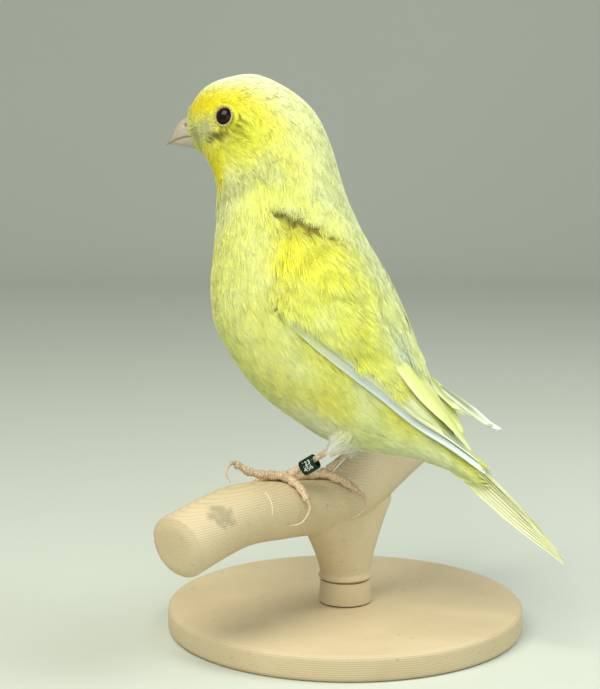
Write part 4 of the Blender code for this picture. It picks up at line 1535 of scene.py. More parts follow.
@dataclass
class Coat:
    """Grows tufts as fans of barbs. A barb is a closed spindle that is thickest past its middle."""

    finish: Material
    seed: int = 7
    barb_width: float = 0.115
    barb_height: float = 0.028
    cup: float = 0.22
    softness: float = 0.25  # how much the shading normals lean to the sides of a barb
    strays: float = 0.001  # share of barbs that stand off the rest

    def grow(self, name: str, tufts: Tufts) -> None:
        """Build the barbs of some tufts as one piece.

        Args:
            name: Name of the piece.
            tufts: The tufts.
        """
        rng = np.random.default_rng(self.seed + len(name))
        owner = np.repeat(np.arange(len(tufts.station)), tufts.barbs)
        n = len(owner)
        first = np.concatenate([[0], np.cumsum(tufts.barbs)[:-1]])
        order = np.arange(n) - first[owner]
        loose = tufts.loose[owner]
        spread = (2 * (order + 0.5) / tufts.barbs[owner] - 1) + rng.normal(0, 0.05, n)
        length = tufts.length[owner] * (1 + loose * rng.uniform(-0.42, 0.08, n))
        width = tufts.width[owner]
        # A barb goes off the shaft at its root, and runs by its middle to its tip: u is aside, v along.
        root_v = length * rng.uniform(0.0, 0.42, n) * (1 - 0.5 * np.abs(spread))
        root_u = 0.16 * width * spread
        tip_u = 0.5 * width * bent(spread, 0.85) + loose * rng.normal(0, 0.14, n)
        tip_v = length * (1 - 0.34 * spread**2)
        mid_u = mix(root_u, tip_u, 0.66)
        mid_v = mix(root_v, tip_v, 0.55)
        points = []
        normals = []
        colours = []
        for u, v in ((root_u, root_v), (mid_u, mid_v), (tip_u, tip_v)):
            station, angle = self.landing(tufts, owner, u, v)
            share = v / length
            lift = mix(-tufts.depth[owner], tufts.rise[owner], np.clip(share, 0, 1) ** 0.38)
            lift = lift - self.cup * share * (2 * u / width) ** 2 * width / 6 + tufts.base[owner]
            lift = lift + tufts.climb[owner] * np.maximum(0, station - RAISE_FROM)
            normal = FORM.normal(station, angle)
            points.append(FORM.point(station, angle) + normal * lift[:, None])
            normals.append(normal)
            colours.append(MARKINGS.colour(station, angle))
        stray = np.where(rng.random(n) < self.strays, rng.uniform(0.2, 0.8, n), 0)
        rough = loose * rng.normal(0, 0.015, n)
        points[1] = points[1] + normals[1] * (rough + 0.3 * stray)[:, None]
        points[2] = points[2] + normals[2] * (rough * 2 + stray)[:, None]
        thick = self.barb_width * rng.uniform(0.75, 1.25, n) * np.sqrt(np.clip(length / 6, 0.35, 1.2))
        tone = (tufts.tone[owner] * (1 + loose * rng.normal(0, 0.07, n)))[:, None]
        frost = np.clip(tufts.frost[owner] * (1 + loose * rng.uniform(-1.0, 1.0, n)), 0, 1)
        rooted = (tufts.station[owner], tufts.angle[owner])
        # Barbs rooted in the hollow before the shoulder take its painted shade.
        low = MARKINGS.shaded(shade(colours[1] * tone, FROST, frost * 0.4), *rooted)
        tip = MARKINGS.shaded(shade(colours[2] * tone, FROST, frost), *rooted)
        patch_u = np.stack((root_u, mid_u - 0.1, mid_u + 0.1, mid_u, tip_u), 1) / width[:, None]
        patch_v = np.stack((root_v, mid_v, mid_v, mid_v, tip_v), 1) / length[:, None] - 0.5
        bake = skin_spot(*rooted)[:, None] + np.stack((patch_u, patch_v), -1) * PATCH
        self.spindles(name, Barbs(points, normals, thick, spread * 0.15, (low, tip), bake))

    def landing(self, tufts: Tufts, owner: np.ndarray, aside: np.ndarray, ahead: np.ndarray) -> tuple:
        """Find where on the body points of barbs lie.

        Args:
            tufts: The tufts.
            owner: Number of each barb's tuft.
            aside: How far each point is to the side of its feather's shaft.
            ahead: How far it is along the shaft.

        Returns:
            Stations and angles.
        """
        along, around = FORM.slopes(tufts.station, tufts.angle)
        per_station = np.maximum(np.linalg.norm(along, axis=1), 1.2)[owner]
        per_degree = np.maximum(np.linalg.norm(around, axis=1), 0.03)[owner]
        # On the bent neck the two slopes aren't square, so the step round the body is corrected.
        lean = ((unit(along) * unit(around)).sum(1))[owner]
        square = np.sqrt(np.maximum(1 - lean**2, 0.2))
        yaw = np.radians(tufts.yaw)[owner]
        forward = ahead * np.cos(yaw) - aside * np.sin(yaw)
        sideways = (ahead * np.sin(yaw) + aside * np.cos(yaw)) * np.sign(tufts.angle)[owner]
        station = tufts.station[owner] + (forward - sideways * lean / square) / per_station
        angle = tufts.angle[owner] + sideways / square / per_degree
        return np.clip(station, 0.02, LAST_STATION), angle

    def spindles(self, name: str, barbs: Barbs) -> None:
        """Build closed spindles as one mesh, dressed and riding on the bird.

        Args:
            name: Name of the piece.
            barbs: What is drawn.
        """
        root, middle, tip = barbs.points
        normals = barbs.normals
        side = unit(np.cross(normals[1], unit(tip - root)))
        lean = barbs.roll[:, None]
        out = unit(normals[1] + side * lean)
        half = 0.5 * barbs.thick[:, None]
        corners = (root, middle - side * half, middle + side * half, middle + out * self.barb_height, tip)
        faces = np.array([(0, 1, 3), (0, 3, 2), (0, 2, 1), (4, 3, 1), (4, 2, 3), (4, 1, 2)])
        all_faces = (np.arange(len(root))[:, None, None] * len(corners) + faces[None]).reshape(-1, 3)
        coat = mesh_object(name, np.stack(corners, 1).reshape(-1, 3), all_faces)
        lower = unit(out - side * self.softness)
        upper = unit(out + side * self.softness)
        shading = np.stack((normals[0], lower, upper, out, unit(normals[2] + side * lean)), 1)
        coat.data.normals_split_custom_set_from_vertices(shading.reshape(-1, 3).astype(np.float32))
        low, tip_colour = barbs.colours
        # Painted shade: each barb's root, and a little its sides, are darker, as they lie deeper in the
        # coat's shade.
        tints = np.stack((low * 0.88, low * 0.98, low * 0.98, low, tip_colour), 1)
        set_tint(coat, np.clip(tints.reshape(-1, 3), 0, 1))
        set_map(coat, BAKE_MAP, barbs.bake.reshape(-1, 2))
        settle(coat, Slot.PLUMAGE, self.finish)

    def thigh_fluff(self, side: Side) -> None:
        """Grow the down that hangs round the top of a tarsus.

        Args:
            side: Side of the bird.
        """
        rng = np.random.default_rng(80 + side.value)
        n = 2600
        ankle, back = thigh_line(side.word)
        aside = unit(np.cross(back, UP))
        above = np.cross(aside, back)
        at = rng.uniform(-0.6, 7.5, n)
        turn = rng.uniform(0, 2 * np.pi, n)
        shape = np.array(THIGH_SHAPE)
        out = aside * np.cos(turn)[:, None] + above * np.sin(turn)[:, None]
        reach = rng.uniform(2.2, 4.2, n) * np.interp(at, (-0.6, 2.0), (0.6, 1.0))
        points = []
        for share, lift in ((0.0, -1.0), (0.55, -0.25), (1.0, 0.1)):
            spot = at - reach * share
            radius = np.interp(spot, shape[:, 0], shape[:, 1]) * np.interp(spot, (-3, -0.9), (0.75, 1.0))
            radius = np.maximum(radius + lift + rng.normal(0, 0.12, n) * share, 0.75)
            swirl = turn + rng.normal(0, 0.12, n) * share
            ray = aside * np.cos(swirl)[:, None] + above * np.sin(swirl)[:, None]
            points.append(ankle + back * spot[:, None] + ray * radius[:, None])
        white = THIGH_WHITE * (1 + rng.normal(0, 0.03, n))[:, None]
        yellow = shade(white, THIGH_YELLOW, ramp(at, 2.5, 7.0))
        spot = skin_spot(np.full(n, THIGH_SPOT[0]), np.full(n, THIGH_SPOT[1] * side.value))
        spot = spot + np.stack((turn, at), -1) * 0.002
        self.spindles(f"thigh_down_{side.word}", single_barbs(points, [out] * 3, 0.13, (yellow, white), spot))

    def bristles(self, side: Side) -> None:
        """Grow the short stiff hairs that lie forward over the bill's base.

        Args:
            side: Side of the bird.
        """
        rng = np.random.default_rng(90 + side.value)
        n = 900
        station = rng.uniform(0.05, 0.9, n)
        angle = side.value * rng.uniform(4, 150, n)
        reach = rng.uniform(0.4, 1.1, n) * (1 + 0.6 * hump((np.abs(angle) - 88) / 16))
        normal = FORM.normal(station, angle)
        forward = unit(BILL_TIP - GAPE)
        root = FORM.lifted(station, angle, np.full(n, -0.2))
        middle = root + forward * (0.5 * reach)[:, None] + normal * 0.2
        tip = root + forward * reach[:, None] + normal * rng.uniform(-0.1, 0.25, n)[:, None]
        colour = MARKINGS.colour(station, angle) * (1 + rng.normal(0, 0.08, n))[:, None]
        shades = (colour, colour * 0.95)
        hairs = single_barbs([root, middle, tip], [normal] * 3, 0.07, shades, skin_spot(station, angle))
        self.spindles(f"bristles_{side.word}", hairs)


def single_barbs(points: list, normals: list, thick: float, colours: tuple, spot: np.ndarray) -> Barbs:
    """Barbs of one width that stand alone and don't lean.

    Args:
        points: Their roots, middles and tips.
        normals: Outward directions at the same three places.
        thick: Their width.
        colours: Colours of their lower parts and of their tips.
        spot: Place of each on the skin's unwrap.

    Returns:
        The barbs.
    """
    n = len(spot)
    bake = spot[:, None] + np.linspace(0, PATCH, 5)[None, :, None]
    return Barbs(points, normals, np.full(n, thick), np.zeros(n), colours, bake)


def spaced(points: np.ndarray, spacing: np.ndarray) -> list:
    """Go through points in order, and keep those that are clear of all kept before.

    Args:
        points: Rows of x, y, z.
        spacing: How clear each must be.

    Returns:
        Numbers of the kept points.
    """
    kept = np.empty_like(points)
    chosen = []
    for i, point in enumerate(points):
        away = kept[: len(chosen)] - point
        if (np.einsum("ij,ij->i", away, away) < spacing[i] ** 2).any():
            continue
        kept[len(chosen)] = point
        chosen.append(i)
    return chosen


ZONE_SIZES = ("station", "spacing", "length", "width", "barbs")  # columns of the next table
ZONES = (  # size of the feathers by station, in millimetres
    (0.0, 0.5, 1.5, 1.0, 10),
    (1.0, 0.6, 2.1, 1.3, 13),
    (2.0, 0.72, 2.7, 1.7, 16),
    (3.0, 0.85, 3.3, 2.0, 20),
    (4.0, 1.0, 4.0, 2.4, 24),
    (5.0, 1.15, 4.8, 2.8, 30),
    (6.0, 1.35, 5.8, 3.4, 38),
    (7.0, 1.55, 6.8, 4.2, 48),
    (8.0, 1.8, 8.0, 4.8, 58),
    (10.0, 2.0, 9.0, 5.4, 68),
    (13.0, 2.0, 9.0, 5.4, 68),
    (15.0, 1.8, 8.0, 4.8, 60),
    (17.0, 1.6, 7.0, 4.0, 48),
    (18.0, 1.6, 6.0, 3.6, 40),
)
TRACTS = {  # first station of each piece of the coat
    "face": 0.0,
    "cheek": 3.6,
    "neck": 6.2,
    "breast": 8.2,
    "flank": 10.2,
    "belly": 12.4,
    "rump": 14.4,
}


def zone(name: str, station: np.ndarray) -> np.ndarray:
    """Read one of the zones' sizes at stations."""
    table = np.array(ZONES)
    return np.interp(station, table[:, 0], table[:, ZONE_SIZES.index(name)])


@dataclass
class Plumage:
    """Lays out the small feathers of head, neck and body, and grows them in tracts."""

    coat: Coat
    seed: int = 3
    tries: int = 60000
    first: float = 0.12
    last: float = 16.3
    eye_clear: float = 2.35
    wing_margin: float = 9.0
    density: float = 1.55

    def roots(self) -> tuple[np.ndarray, np.ndarray]:
        """Scatter roots so that no two are nearer than their zone's spacing.

        Returns:
            Stations and angles.
        """
        rng = np.random.default_rng(self.seed)
        station = rng.uniform(self.first, self.last, self.tries)
        angle = rng.uniform(-180, 180, self.tries)
        eye = FORM.point(np.array([EYE_STATION]), np.array([EYE_ANGLE]))[0]
        points = FORM.point(station, angle)
        folded = points.copy()
        folded[:, 1] = BIRD_Y - np.abs(points[:, 1] - BIRD_Y)
        keep = np.linalg.norm(folded - eye, axis=1) > self.eye_clear
        keep &= ~under_wing(station, angle, self.wing_margin)
        station, angle, points = station[keep], angle[keep], points[keep]
        chosen = spaced(points, zone("spacing", station))
        return station[chosen], angle[chosen]

    def tufts(self) -> Tufts:
        """Give every root its size, lie and colour.

        Returns:
            The feathers of the whole body.
        """
        rng = np.random.default_rng(self.seed + 1)
        station, angle = self.roots()
        n = len(station)
        length = zone("length", station) * rng.uniform(0.88, 1.12, n)
        width = zone("width", station) * rng.uniform(0.9, 1.1, n)
        barbs = (self.density * zone("barbs", station)).astype(int)
        depth = coat_depth(station) * rng.uniform(0.75, 1.0, n)
        uneven = mix(0.4, 1.0, ramp(station, 3, 7))
        rise = mix(0.03, 0.16, ramp(station, 2, 8)) + rng.normal(0, 0.03, n) * uneven
        rise = rise + 0.4 * collar(station + 0.7, angle)
        yaw = rng.normal(0, 5, n) + self.eye_turn(station, np.abs(angle))
        along, _ = FORM.slopes(station, angle)
        room = np.minimum(to_crease(station, angle), to_blade(station, angle)) * np.linalg.norm(along, axis=1)
        length = np.minimum(length, np.maximum(room + rng.exponential(0.5, n), 1.2))
        length = np.minimum(length, self.eye_room(station, angle))
        base = 0.9 * (FORM.shoulder(station, angle) - crease(station, angle)) - 0.4 * collar(station, angle)
        base = base + scapular_lift(station, angle) + mantle(station, angle)
        frost = MARKINGS.frost(station, angle)
        tone = 1 + rng.normal(0, 0.015, n)
        climb = np.zeros(n)
        loose = np.ones(n)
        return Tufts(station, angle, length, width, yaw, barbs, depth, rise, base, climb, frost, tone, loose)

    def eye_room(self, station: np.ndarray, angle: np.ndarray) -> np.ndarray:
        """Find how long feathers may be so that none lies over an eye.

        Args:
            station: Stations of their roots.
            angle: Angles of their roots.

        Returns:
            Longest lengths, which are FAR where no eye is ahead.
        """
        size = np.abs(angle)
        along, _ = FORM.slopes(station, size)
        offset = FORM.point(np.array(EYE_STATION), np.array(EYE_ANGLE)) - FORM.point(station, size)
        run = (offset * unit(along)).sum(1)
        aside = np.sqrt(np.maximum((offset * offset).sum(1) - run**2, 0))
        clear = self.eye_clear + 0.1
        inside = (run > 0) & (aside < clear)
        room = run - np.sqrt(np.maximum(clear**2 - aside**2, 0)) + 0.25
        return np.where(inside, np.maximum(room, 0.7), FAR)

    def eye_turn(self, station: np.ndarray, size: np.ndarray) -> np.ndarray:
        """Find the turn that makes feathers part before the eye and run round it.

        Args:
            station: Stations of their roots.
            size: Sizes of their roots' angles.

        Returns:
            Degrees.
        """
        before = EYE_STATION - station
        off = (size - EYE_ANGLE) / 22
        near = np.exp(-((before / 1.3) ** 2) - off**2)
        return 50 * near * np.sign(off + 1e-6) * np.clip(np.abs(off) * 2, 0.4, 1) * np.sign(before + 0.3)

    def build(self) -> None:
        """Grow the body's feathers, one piece for each tract."""
        tufts = self.tufts()
        LOG.info("body feathers: %s tufts, %s barbs", len(tufts.station), int(tufts.barbs.sum()))
        tract = np.searchsorted(list(TRACTS.values()), tufts.station, side="right") - 1
        for number, name in enumerate(TRACTS):
            self.coat.grow(f"coat_{name}", tufts.part(tract == number))


# Wings and tail

Curve = Callable[[np.ndarray], np.ndarray]


@dataclass
class Batch:
    """Gathers alike pieces of mesh, so that they become one object."""

    points: list = field(default_factory=list)
    faces: list = field(default_factory=list)
    tints: list = field(default_factory=list)
    spots: list = field(default_factory=list)
    bake: list = field(default_factory=list)
    count: int = 0

    def build(self, name: str) -> Object:
        """Make the one object of all the pieces.

        Args:
            name: Name of the object.

        Returns:
            The object.
        """
        obj = mesh_object(name, np.concatenate(self.points), np.concatenate(self.faces))
        set_tint(obj, np.clip(np.concatenate(self.tints), 0, 1))
        set_map(obj, BAKE_MAP, np.concatenate(self.bake))
        set_map(obj, VANE_MAP, np.concatenate(self.spots) * MM)
        return obj


@dataclass
class Lie:
    """How one vane lies.

    Attributes:
        path: Points for shares along the feather.
        normals: Outward directions for shares.
        width: Full width in millimetres.
        hand: +1 or -1, so that its first edge is the same on both sides of the bird.
        spot: Place of its root on the skin's unwrap.
    """

    path: Curve
    normals: Curve
    width: float
    hand: int
    spot: np.ndarray


@dataclass(frozen=True)
class VaneShape:
    """Shape and colours of a long feather.

    Attributes:
        blunt: From 0, pointed, to 1, square.
        tilt: How far its first edge stands over the other.
        lean: How much narrower the first side of the vane is than the other, as a share.
        ground: Hex colour of the vane.
        edge: Hex colour of its margins.
        inner: Hex colour of the half that the next feather covers: partly its own duskier tone, partly
            painted shadow of the next feather.
        shaft: Hex colour of the shaft.
        edge_width: Width of the margins as a share of half the vane.
        cover: How far across, from -1 to 1, the next feather begins to cover it, and its painted shadow
            begins.
        thick: Thickness at the shaft in millimetres.
        rooted: Hex colour towards the root, like the soft feathers there.
        rows: Points along it.
        columns: Points across it.
    """

    blunt: float
    tilt: float
    lean: float = 0.15
    ground: str = "F1EC78"
    edge: str = "F6F4CE"
    inner: str = "A9A871"
    shaft: str = "E9E2A0"
    edge_width: float = 0.22
    cover: float = 0.1
    thick: float = 0.16
    rooted: str = "DCE584"
    rows: int = 30
    columns: int = 11

    def add(self, batch: Batch, lie: Lie, rng: np.random.Generator) -> None:
        """Add one closed vane to a batch.

        Args:
            batch: Where it goes.
            lie: How it lies.
            rng: Source of its small differences.
        """
        share = 1 - (1 - np.linspace(0, 1, self.rows)) ** 1.25
        place = np.linspace(-1, 1, self.columns)
        middle = lie.path(share)
        ahead = unit(lie.path(np.minimum(share + 0.02, 1)) - lie.path(np.maximum(share - 0.02, 0)))
        normal = lie.normals(share)
        side = unit(np.cross(normal, ahead)) * lie.hand
        length = np.linalg.norm(np.diff(middle, axis=0), axis=1).sum()
        narrowing = np.maximum(0, (share - 0.55) / 0.45) ** 2.4 * (0.9 - 0.42 * self.blunt)
        half = (0.5 * lie.width * (0.5 + 0.5 * np.minimum(1, share / 0.4)) * (1 - narrowing))[:, None]
        reach = np.where(place < 0, 1 - self.lean, 1 + self.lean)
        across = half * (place * reach)[None] * (1 + self.roughness(place, rng))
        back = np.abs(place)[None] ** 2 * half * (0.25 + 0.75 * ramp(share, 0.55, 1)[:, None])
        rise = -0.5 * self.tilt * place[None] - 0.11 * half * np.abs(place) ** 1.5
        ridge = 0.09 * hump(place / 0.12)[None] * (1 - 0.6 * share[:, None])
        deep = (self.thick * (1 - 0.65 * np.abs(place) ** 2))[None] * (1 - 0.4 * share[:, None])
        base = middle[:, None] + side[:, None] * across[..., None] - ahead[:, None] * back[..., None]
        top = base + normal[:, None] * (rise + ridge + deep / 2)[..., None]
        bottom = base + normal[:, None] * (rise - deep / 2)[..., None]
        tints = self.tints(share, place) * (1 + rng.normal(0, 0.02))
        # Painted light: the underside is paler, near the margins' colour, for light that shines through the
        # thin vanes.
        under = shade(tints, rgb(self.edge), np.full(tints.shape[:2], 0.85))
        spots = np.stack((across, (length * share)[:, None] - back), -1).reshape(-1, 2)
        patch = np.stack(np.broadcast_arrays(place[None], share[:, None]), -1) * PATCH / 2
        bake = (lie.spot + patch).reshape(-1, 2)
        batch.points.append(np.concatenate((top.reshape(-1, 3), bottom.reshape(-1, 3))))
        batch.faces.append(self.faces(lie.hand) + batch.count)
        batch.tints.append(np.concatenate((tints.reshape(-1, 3), under.reshape(-1, 3))))
        batch.spots.append(np.concatenate((spots, spots)))
        batch.bake.append(np.concatenate((bake, bake)))
        batch.count += 2 * self.rows * self.columns

    def roughness(self, place: np.ndarray, rng: np.random.Generator) -> np.ndarray:
        """Draw how the vane's two margins waver.

        Args:
            place: Places across the vane.
            rng: Source of the draws.

        Returns:
            Change of width by row and place.
        """
        wave = rng.normal(0, 1, (self.rows, 2))
        wave = 0.5 * wave + 0.25 * np.roll(wave, 1, 0) + 0.25 * np.roll(wave, -1, 0)
        return np.where(place < 0, wave[:, :1], wave[:, 1:]) * np.abs(place) ** 6 * 0.05

    def tints(self, share: np.ndarray, place: np.ndarray) -> np.ndarray:
        """Colour the upper side.

        Args:
            share: Places along the vane.
            place: Places across it.

        Returns:
            Linear colours by row and place.
        """
        flat = 0 * share[:, None] + 0 * place[None]
        edge = ramp(np.abs(place), 1 - 2.2 * self.edge_width, 1 - 0.35 * self.edge_width)[None]
        edge = np.maximum(edge, ramp(share, 0.86, 0.99)[:, None])
        # The covered half is darker: partly the vane's own duskier tone, partly painted shadow of the next
        # feather over it.
        inner = 0.85 * ramp(place, self.cover, self.cover + 0.4)[None] + flat
        made = shade(rgb(self.ground), rgb(self.inner), inner)
        made = shade(made, rgb(self.edge), edge * np.where(place < 0, 1.0, 0.75)[None])
        made = shade(made, rgb(self.shaft), hump(place / 0.1)[None] + flat)
        return shade(made, rgb(self.rooted), 0.7 * (1 - ramp(share, 0.12, 0.42))[:, None] + flat)

    def faces(self, hand: int) -> np.ndarray:
        """Join a closed vane's points, turned outwards.

        Args:
            hand: +1 or -1, by the vane's side.

        Returns:
            Rows of four point numbers.
        """
        grid = np.arange(self.rows * self.columns).reshape(self.rows, self.columns)
        below = grid + grid.size
        top = np.stack((grid[:-1, :-1], grid[1:, :-1], grid[1:, 1:], grid[:-1, 1:]), -1).reshape(-1, 4)
        bottom = np.stack((below[:-1, :-1], below[:-1, 1:], below[1:, 1:], below[1:, :-1]), -1).reshape(-1, 4)
        rim = np.concatenate((grid[:, 0], grid[-1, 1:], grid[::-1, -1][1:], grid[0, ::-1][1:]))
        low = rim + grid.size
        walls = np.stack((rim[:-1], low[:-1], low[1:], rim[1:]), -1)
        made = np.concatenate((top, bottom, walls))
        return made if hand > 0 else made[:, ::-1]


@dataclass(frozen=True)
class WingRow:
    """One row of a wing's feathers, from the one nearest the belly to the one nearest the back.

    Attributes:
        count: How many feathers it has.
        roots: Station, angle and lift off the body of the first and the last root.
        tips: The same of the first and the last tip.
        widths: Widths of the first and the last feather in millimetres.
        shape: Shape and colours of the feathers.
        raised: How far the row follows a wing that stands off the back, as a share.
    """

    count: int
    roots: tuple
    tips: tuple
    widths: tuple
    shape: VaneShape
    raised: float = 1.0


OUTER_PRIMARY = VaneShape(0.3, 0.3, 0.3, "C6D6CC", "E4EDE2", "8FA088", "D2DECE", 0.3, 0.1)
PRIMARY = VaneShape(0.3, 0.4, 0.3, "CBD8AE", "E6EDD0", "76824E", "B4BC88", 0.34, -0.7)
SECONDARY = VaneShape(0.8, 0.35, 0.2, "D4DE86", "EAF0B8", "A8B262", "CAD280", 0.28, -0.4)
TERTIAL = VaneShape(0.6, 0.22, 0.1, "E0E98A", "EAF0AE", "D2DA7E", "DCE48A", 0.28, 0.0)
RECTRIX = VaneShape(0.3, 0.2, 0.12, "DCE27C", "F0F2CC", "98A04E", "C8CE74", 0.26, -0.3)
TAIL_COVERT = VaneShape(0.5, 0.2, 0.0, "DEE468", "E8ECA8", "C6CC5C", "D2D870", 0.3)

WING_ROWS = (
    WingRow(
        2,
        ((9.6, 96, 0.6), (9.7, 95, 0.75)),
        ((17.3, 69, 1.2), (17.2, 66, 1.3)),
        (4.4, 4.4),
        OUTER_PRIMARY,
    ),
    WingRow(
        6,
        ((9.9, 88, 0.9), (10.5, 80, 1.3)),
        ((16.9, 52, 1.4), (16.0, 40, 1.5)),
        (4.2, 4.6),
        PRIMARY,
    ),
    WingRow(
        6,
        ((10.5, 76, 1.3), (11.0, 54, 1.5)),
        ((15.9, 44, 1.5), (15.1, 30, 1.5)),
        (5.6, 6.4),
        SECONDARY,
    ),
    WingRow(
        3,
        ((11.0, 41, 1.2), (10.7, 19, 0.5)),
        ((16.4, 21, 1.2), (14.4, 5, 0.8)),
        (7.0, 8.2),
        TERTIAL,
        0.12,
    ),
)
WING_TIP = WING_ROWS[0].tips[0][0]  # station
BLADE = ((9.5, 10.3, 11.05, 11.9, 13.4, 15.1), (97, 92, 82, 71, 59, 48))  # outer primary, angles by station
COVERT_STATIONS = (8.6, 14.3)
COVERT_ANGLES = (16, 97)
COVERT_SPACING = 1.9
COVERT_START = ((30, 60, 97), (9.5, 8.6, 9.3))  # stations of the first soft coverts, by angle
COVERT_END = ((20, 40, 60, 80, 96), (14.2, 13.1, 11.9, 11.0, 10.1))  # and of the last
RAISE_FROM = 11.0
RAISE_TURN = 0.42
RAISE_POWER = 1.8


@dataclass(frozen=True)
class Stance:
    """How one wing is held.

    Attributes:
        raise_tip: How far its tip stands off the back in millimetres.
        root_lift: How much of the roots' lift it has, as a share.
        bow: How late its feathers leave the body.
        covert_edge: How far inside the wing's upper edge its soft coverts begin, in degrees.
        covert_climb: How much more the coverts stand off for each station.
        roll: How far its feathers turn towards the back's middle.
    """

    raise_tip: float
    root_lift: float
    bow: float
    covert_edge: float
    covert_climb: float
    roll: float


STANCES = {
    Side.LEFT: Stance(0.0, 1.0, 1.5, 4.0, 0.0, 0.0),
    Side.RIGHT: Stance(7.4, 0.5, 2.6, 5.0, 0.1, 0.6),
}


@dataclass(frozen=True)
class Wing:
    """One folded wing: rows of stiff vanes with soft coverts over their roots."""

    side: Side
    sunk: float = 1.1  # how deep the vanes' roots are in the coverts, in millimetres

    @property
    def stance(self) -> Stance:
        """How the wing is held."""
        return STANCES[self.side]

    def raised(self, tip: np.ndarray, row: WingRow) -> np.ndarray:
        """Move the tip of a flight feather as the wing is held.

        Args:
            tip: Station, angle and lift on a wing that lies close.
            row: Row of the feather.

        Returns:
            Station, angle and lift.
        """
        amount = self.stance.raise_tip * row.raised
        station, angle, lift = tip
        share = max(0.0, station - RAISE_FROM) / (WING_TIP - RAISE_FROM)
        turn = RAISE_TURN * share if amount else 0
        return np.array((station - turn * 2, angle * (1 - turn), lift + amount * share**RAISE_POWER))

    def build(self, vane: Material, coat: Coat) -> None:
        """Build the vanes and the soft coverts.

        Args:
            vane: Material of stiff feathers.
            coat: Grower of soft feathers.
        """
        rng = np.random.default_rng(40 + self.side.value)
        batch = Batch()
        for row in WING_ROWS:
            for share in np.arange(row.count) / (row.count - 1):
                root = mix(row.roots[0], row.roots[1], share) + rng.normal(0, (0.03, 0.4, 0.03))
                tip = mix(row.tips[0], row.tips[1], share) + rng.normal(0, (0.05, 0.5, 0.03))
                tip = self.raised(tip, row)
                root[2] *= self.stance.root_lift
                width = float(mix(row.widths[0], row.widths[1], share))
                row.shape.add(batch, self.lie(root, tip, width), rng)
        wing = batch.build(f"wing_{self.side.word}_vanes")
        settle(wing, Slot.FLIGHT, vane, f"wing_{self.side.word}")
        coat.grow(f"coverts_{self.side.word}", self.coverts(rng))

    def lie(self, root: np.ndarray, tip: np.ndarray, width: float) -> Lie:
        """Lay one vane straight along the body's side, and over what stands off it.

        Args:
            root: Station, angle and lift of its root.
            tip: The same of its tip.
            width: Width in millimetres.

        Returns:
            How it lies.
        """
        hand = self.side.value
        stations, angles, lifts = np.stack((root, tip), 1)
        ends = FORM.lifted(stations, hand * angles, lifts)

        def path(share: np.ndarray) -> np.ndarray:
            """Find points of the vane, no nearer the body than the straight line between its ends.

            Args:
                share: Places along it.

            Returns:
                The points.
            """
            line = mix(ends[0], ends[1], share[:, None])
            station, angle = FORM.place(line)
            lift = mix(root[2], tip[2], share**self.stance.bow)
            straight = ((line - FORM.point(station, angle)) * FORM.normal(station, angle)).sum(-1)
            least = np.maximum(FORM.shoulder(station, angle) + mantle(station, angle) + GAP, straight)
            sunk = self.sunk * (1 - ramp(share, 0.0, 0.22))
            return FORM.lifted(station, angle, np.maximum(lift, least) - sunk)

        def normals(share: np.ndarray) -> np.ndarray:
            """Find outward directions, which turn towards the back's middle on a raised wing.

            Args:
                share: Places along the vane.

            Returns:
                The directions.
            """
            outward = FORM.normal(*FORM.place(mix(ends[0], ends[1], share[:, None])))
            roll = self.stance.roll * ramp(share, 0.3, 0.9)
            return unit(outward + np.array((0.0, hand, 0.0)) * roll[:, None])

        return Lie(path, normals, width, hand, skin_spot(np.array(root[0]), np.array(hand * root[1])))

    def coverts(self, rng: np.random.Generator) -> Tufts:
        """Scatter soft coverts so close over the roots of the vanes that they look like one soft mass.

        Args:
            rng: Source of the draws.

        Returns:
            The coverts.
        """
        tries = 8000
        station = rng.uniform(*COVERT_STATIONS, tries)
        angle = rng.uniform(*COVERT_ANGLES, tries)
        inside = station < np.interp(angle, *COVERT_END)
        inside &= angle > read_line(WING_UPPER, station) + self.stance.covert_edge
        inside &= station > np.interp(angle, *COVERT_START)
        inside &= angle < np.interp(station + 0.9, *BLADE) - 4
        station, angle = station[inside], angle[inside]
        chosen = spaced(FORM.point(station, angle * self.side.value), np.full(len(station), COVERT_SPACING))
        station, angle = station[chosen], angle[chosen]
        signed = angle * self.side.value
        n = len(station)
        length = rng.uniform(7.4, 9.0, n) * np.interp(angle, (85, 97), (1, 0.7))
        width = rng.uniform(5.6, 6.8, n) * np.interp(angle, (80, 97), (1, 0.6))
        return Tufts(
            station=station,
            angle=signed,
            length=length * np.interp(station, (12, 14), (1, 0.8)),
            width=width * np.interp(station, (12, 14), (1, 0.75)),
            yaw=mix(-12, -3, ramp(angle, 30, 90)) + rng.normal(0, 4, n),
            barbs=np.full(n, 110),
            depth=np.full(n, 0.4),
            rise=rng.uniform(0.35, 0.55, n),
            base=wing_lift(station, signed),
            climb=np.full(n, self.stance.covert_climb),
            frost=rng.uniform(0.0, 0.3, n),
            tone=1 + rng.normal(0, 0.02, n),
            loose=np.full(n, 0.8),
        )


TAIL_ROOT = np.array((29.6, BIRD_Y, 46.4))
TAIL_TIP = np.array((53.2, BIRD_Y, 22.2))
TAIL_LENGTH = float(np.linalg.norm(TAIL_TIP - TAIL_ROOT))
TAIL_PAIRS = 6
TAIL_WIDTH = 4.6
TAIL_SPREAD = (0.3, 0.36)  # sideways place of the middle pair at the root, and the step to each next pair
TAIL_FAN = (0.2, 0.3)  # the same at the tip
TAIL_TENT = 0.42  # how steeply the feathers slope to both sides, growing outwards
TAIL_DROP = 0.17  # how much lower each feather lies than the last
TAIL_FORK = 0.7  # how much shorter each inner pair is
TAIL_BOW = 0.6  # how far its middle arches up
TAIL_COVERTS = ((-0.5, 13.0, 1.0), (1.9, 12.0, -1.0))  # drop, length and way that they rise, above and below
TAIL_COVERT_PLACES = (-2.4, -0.8, 0.8, 2.4)
TAIL_COVERT_WIDTH = 3.8


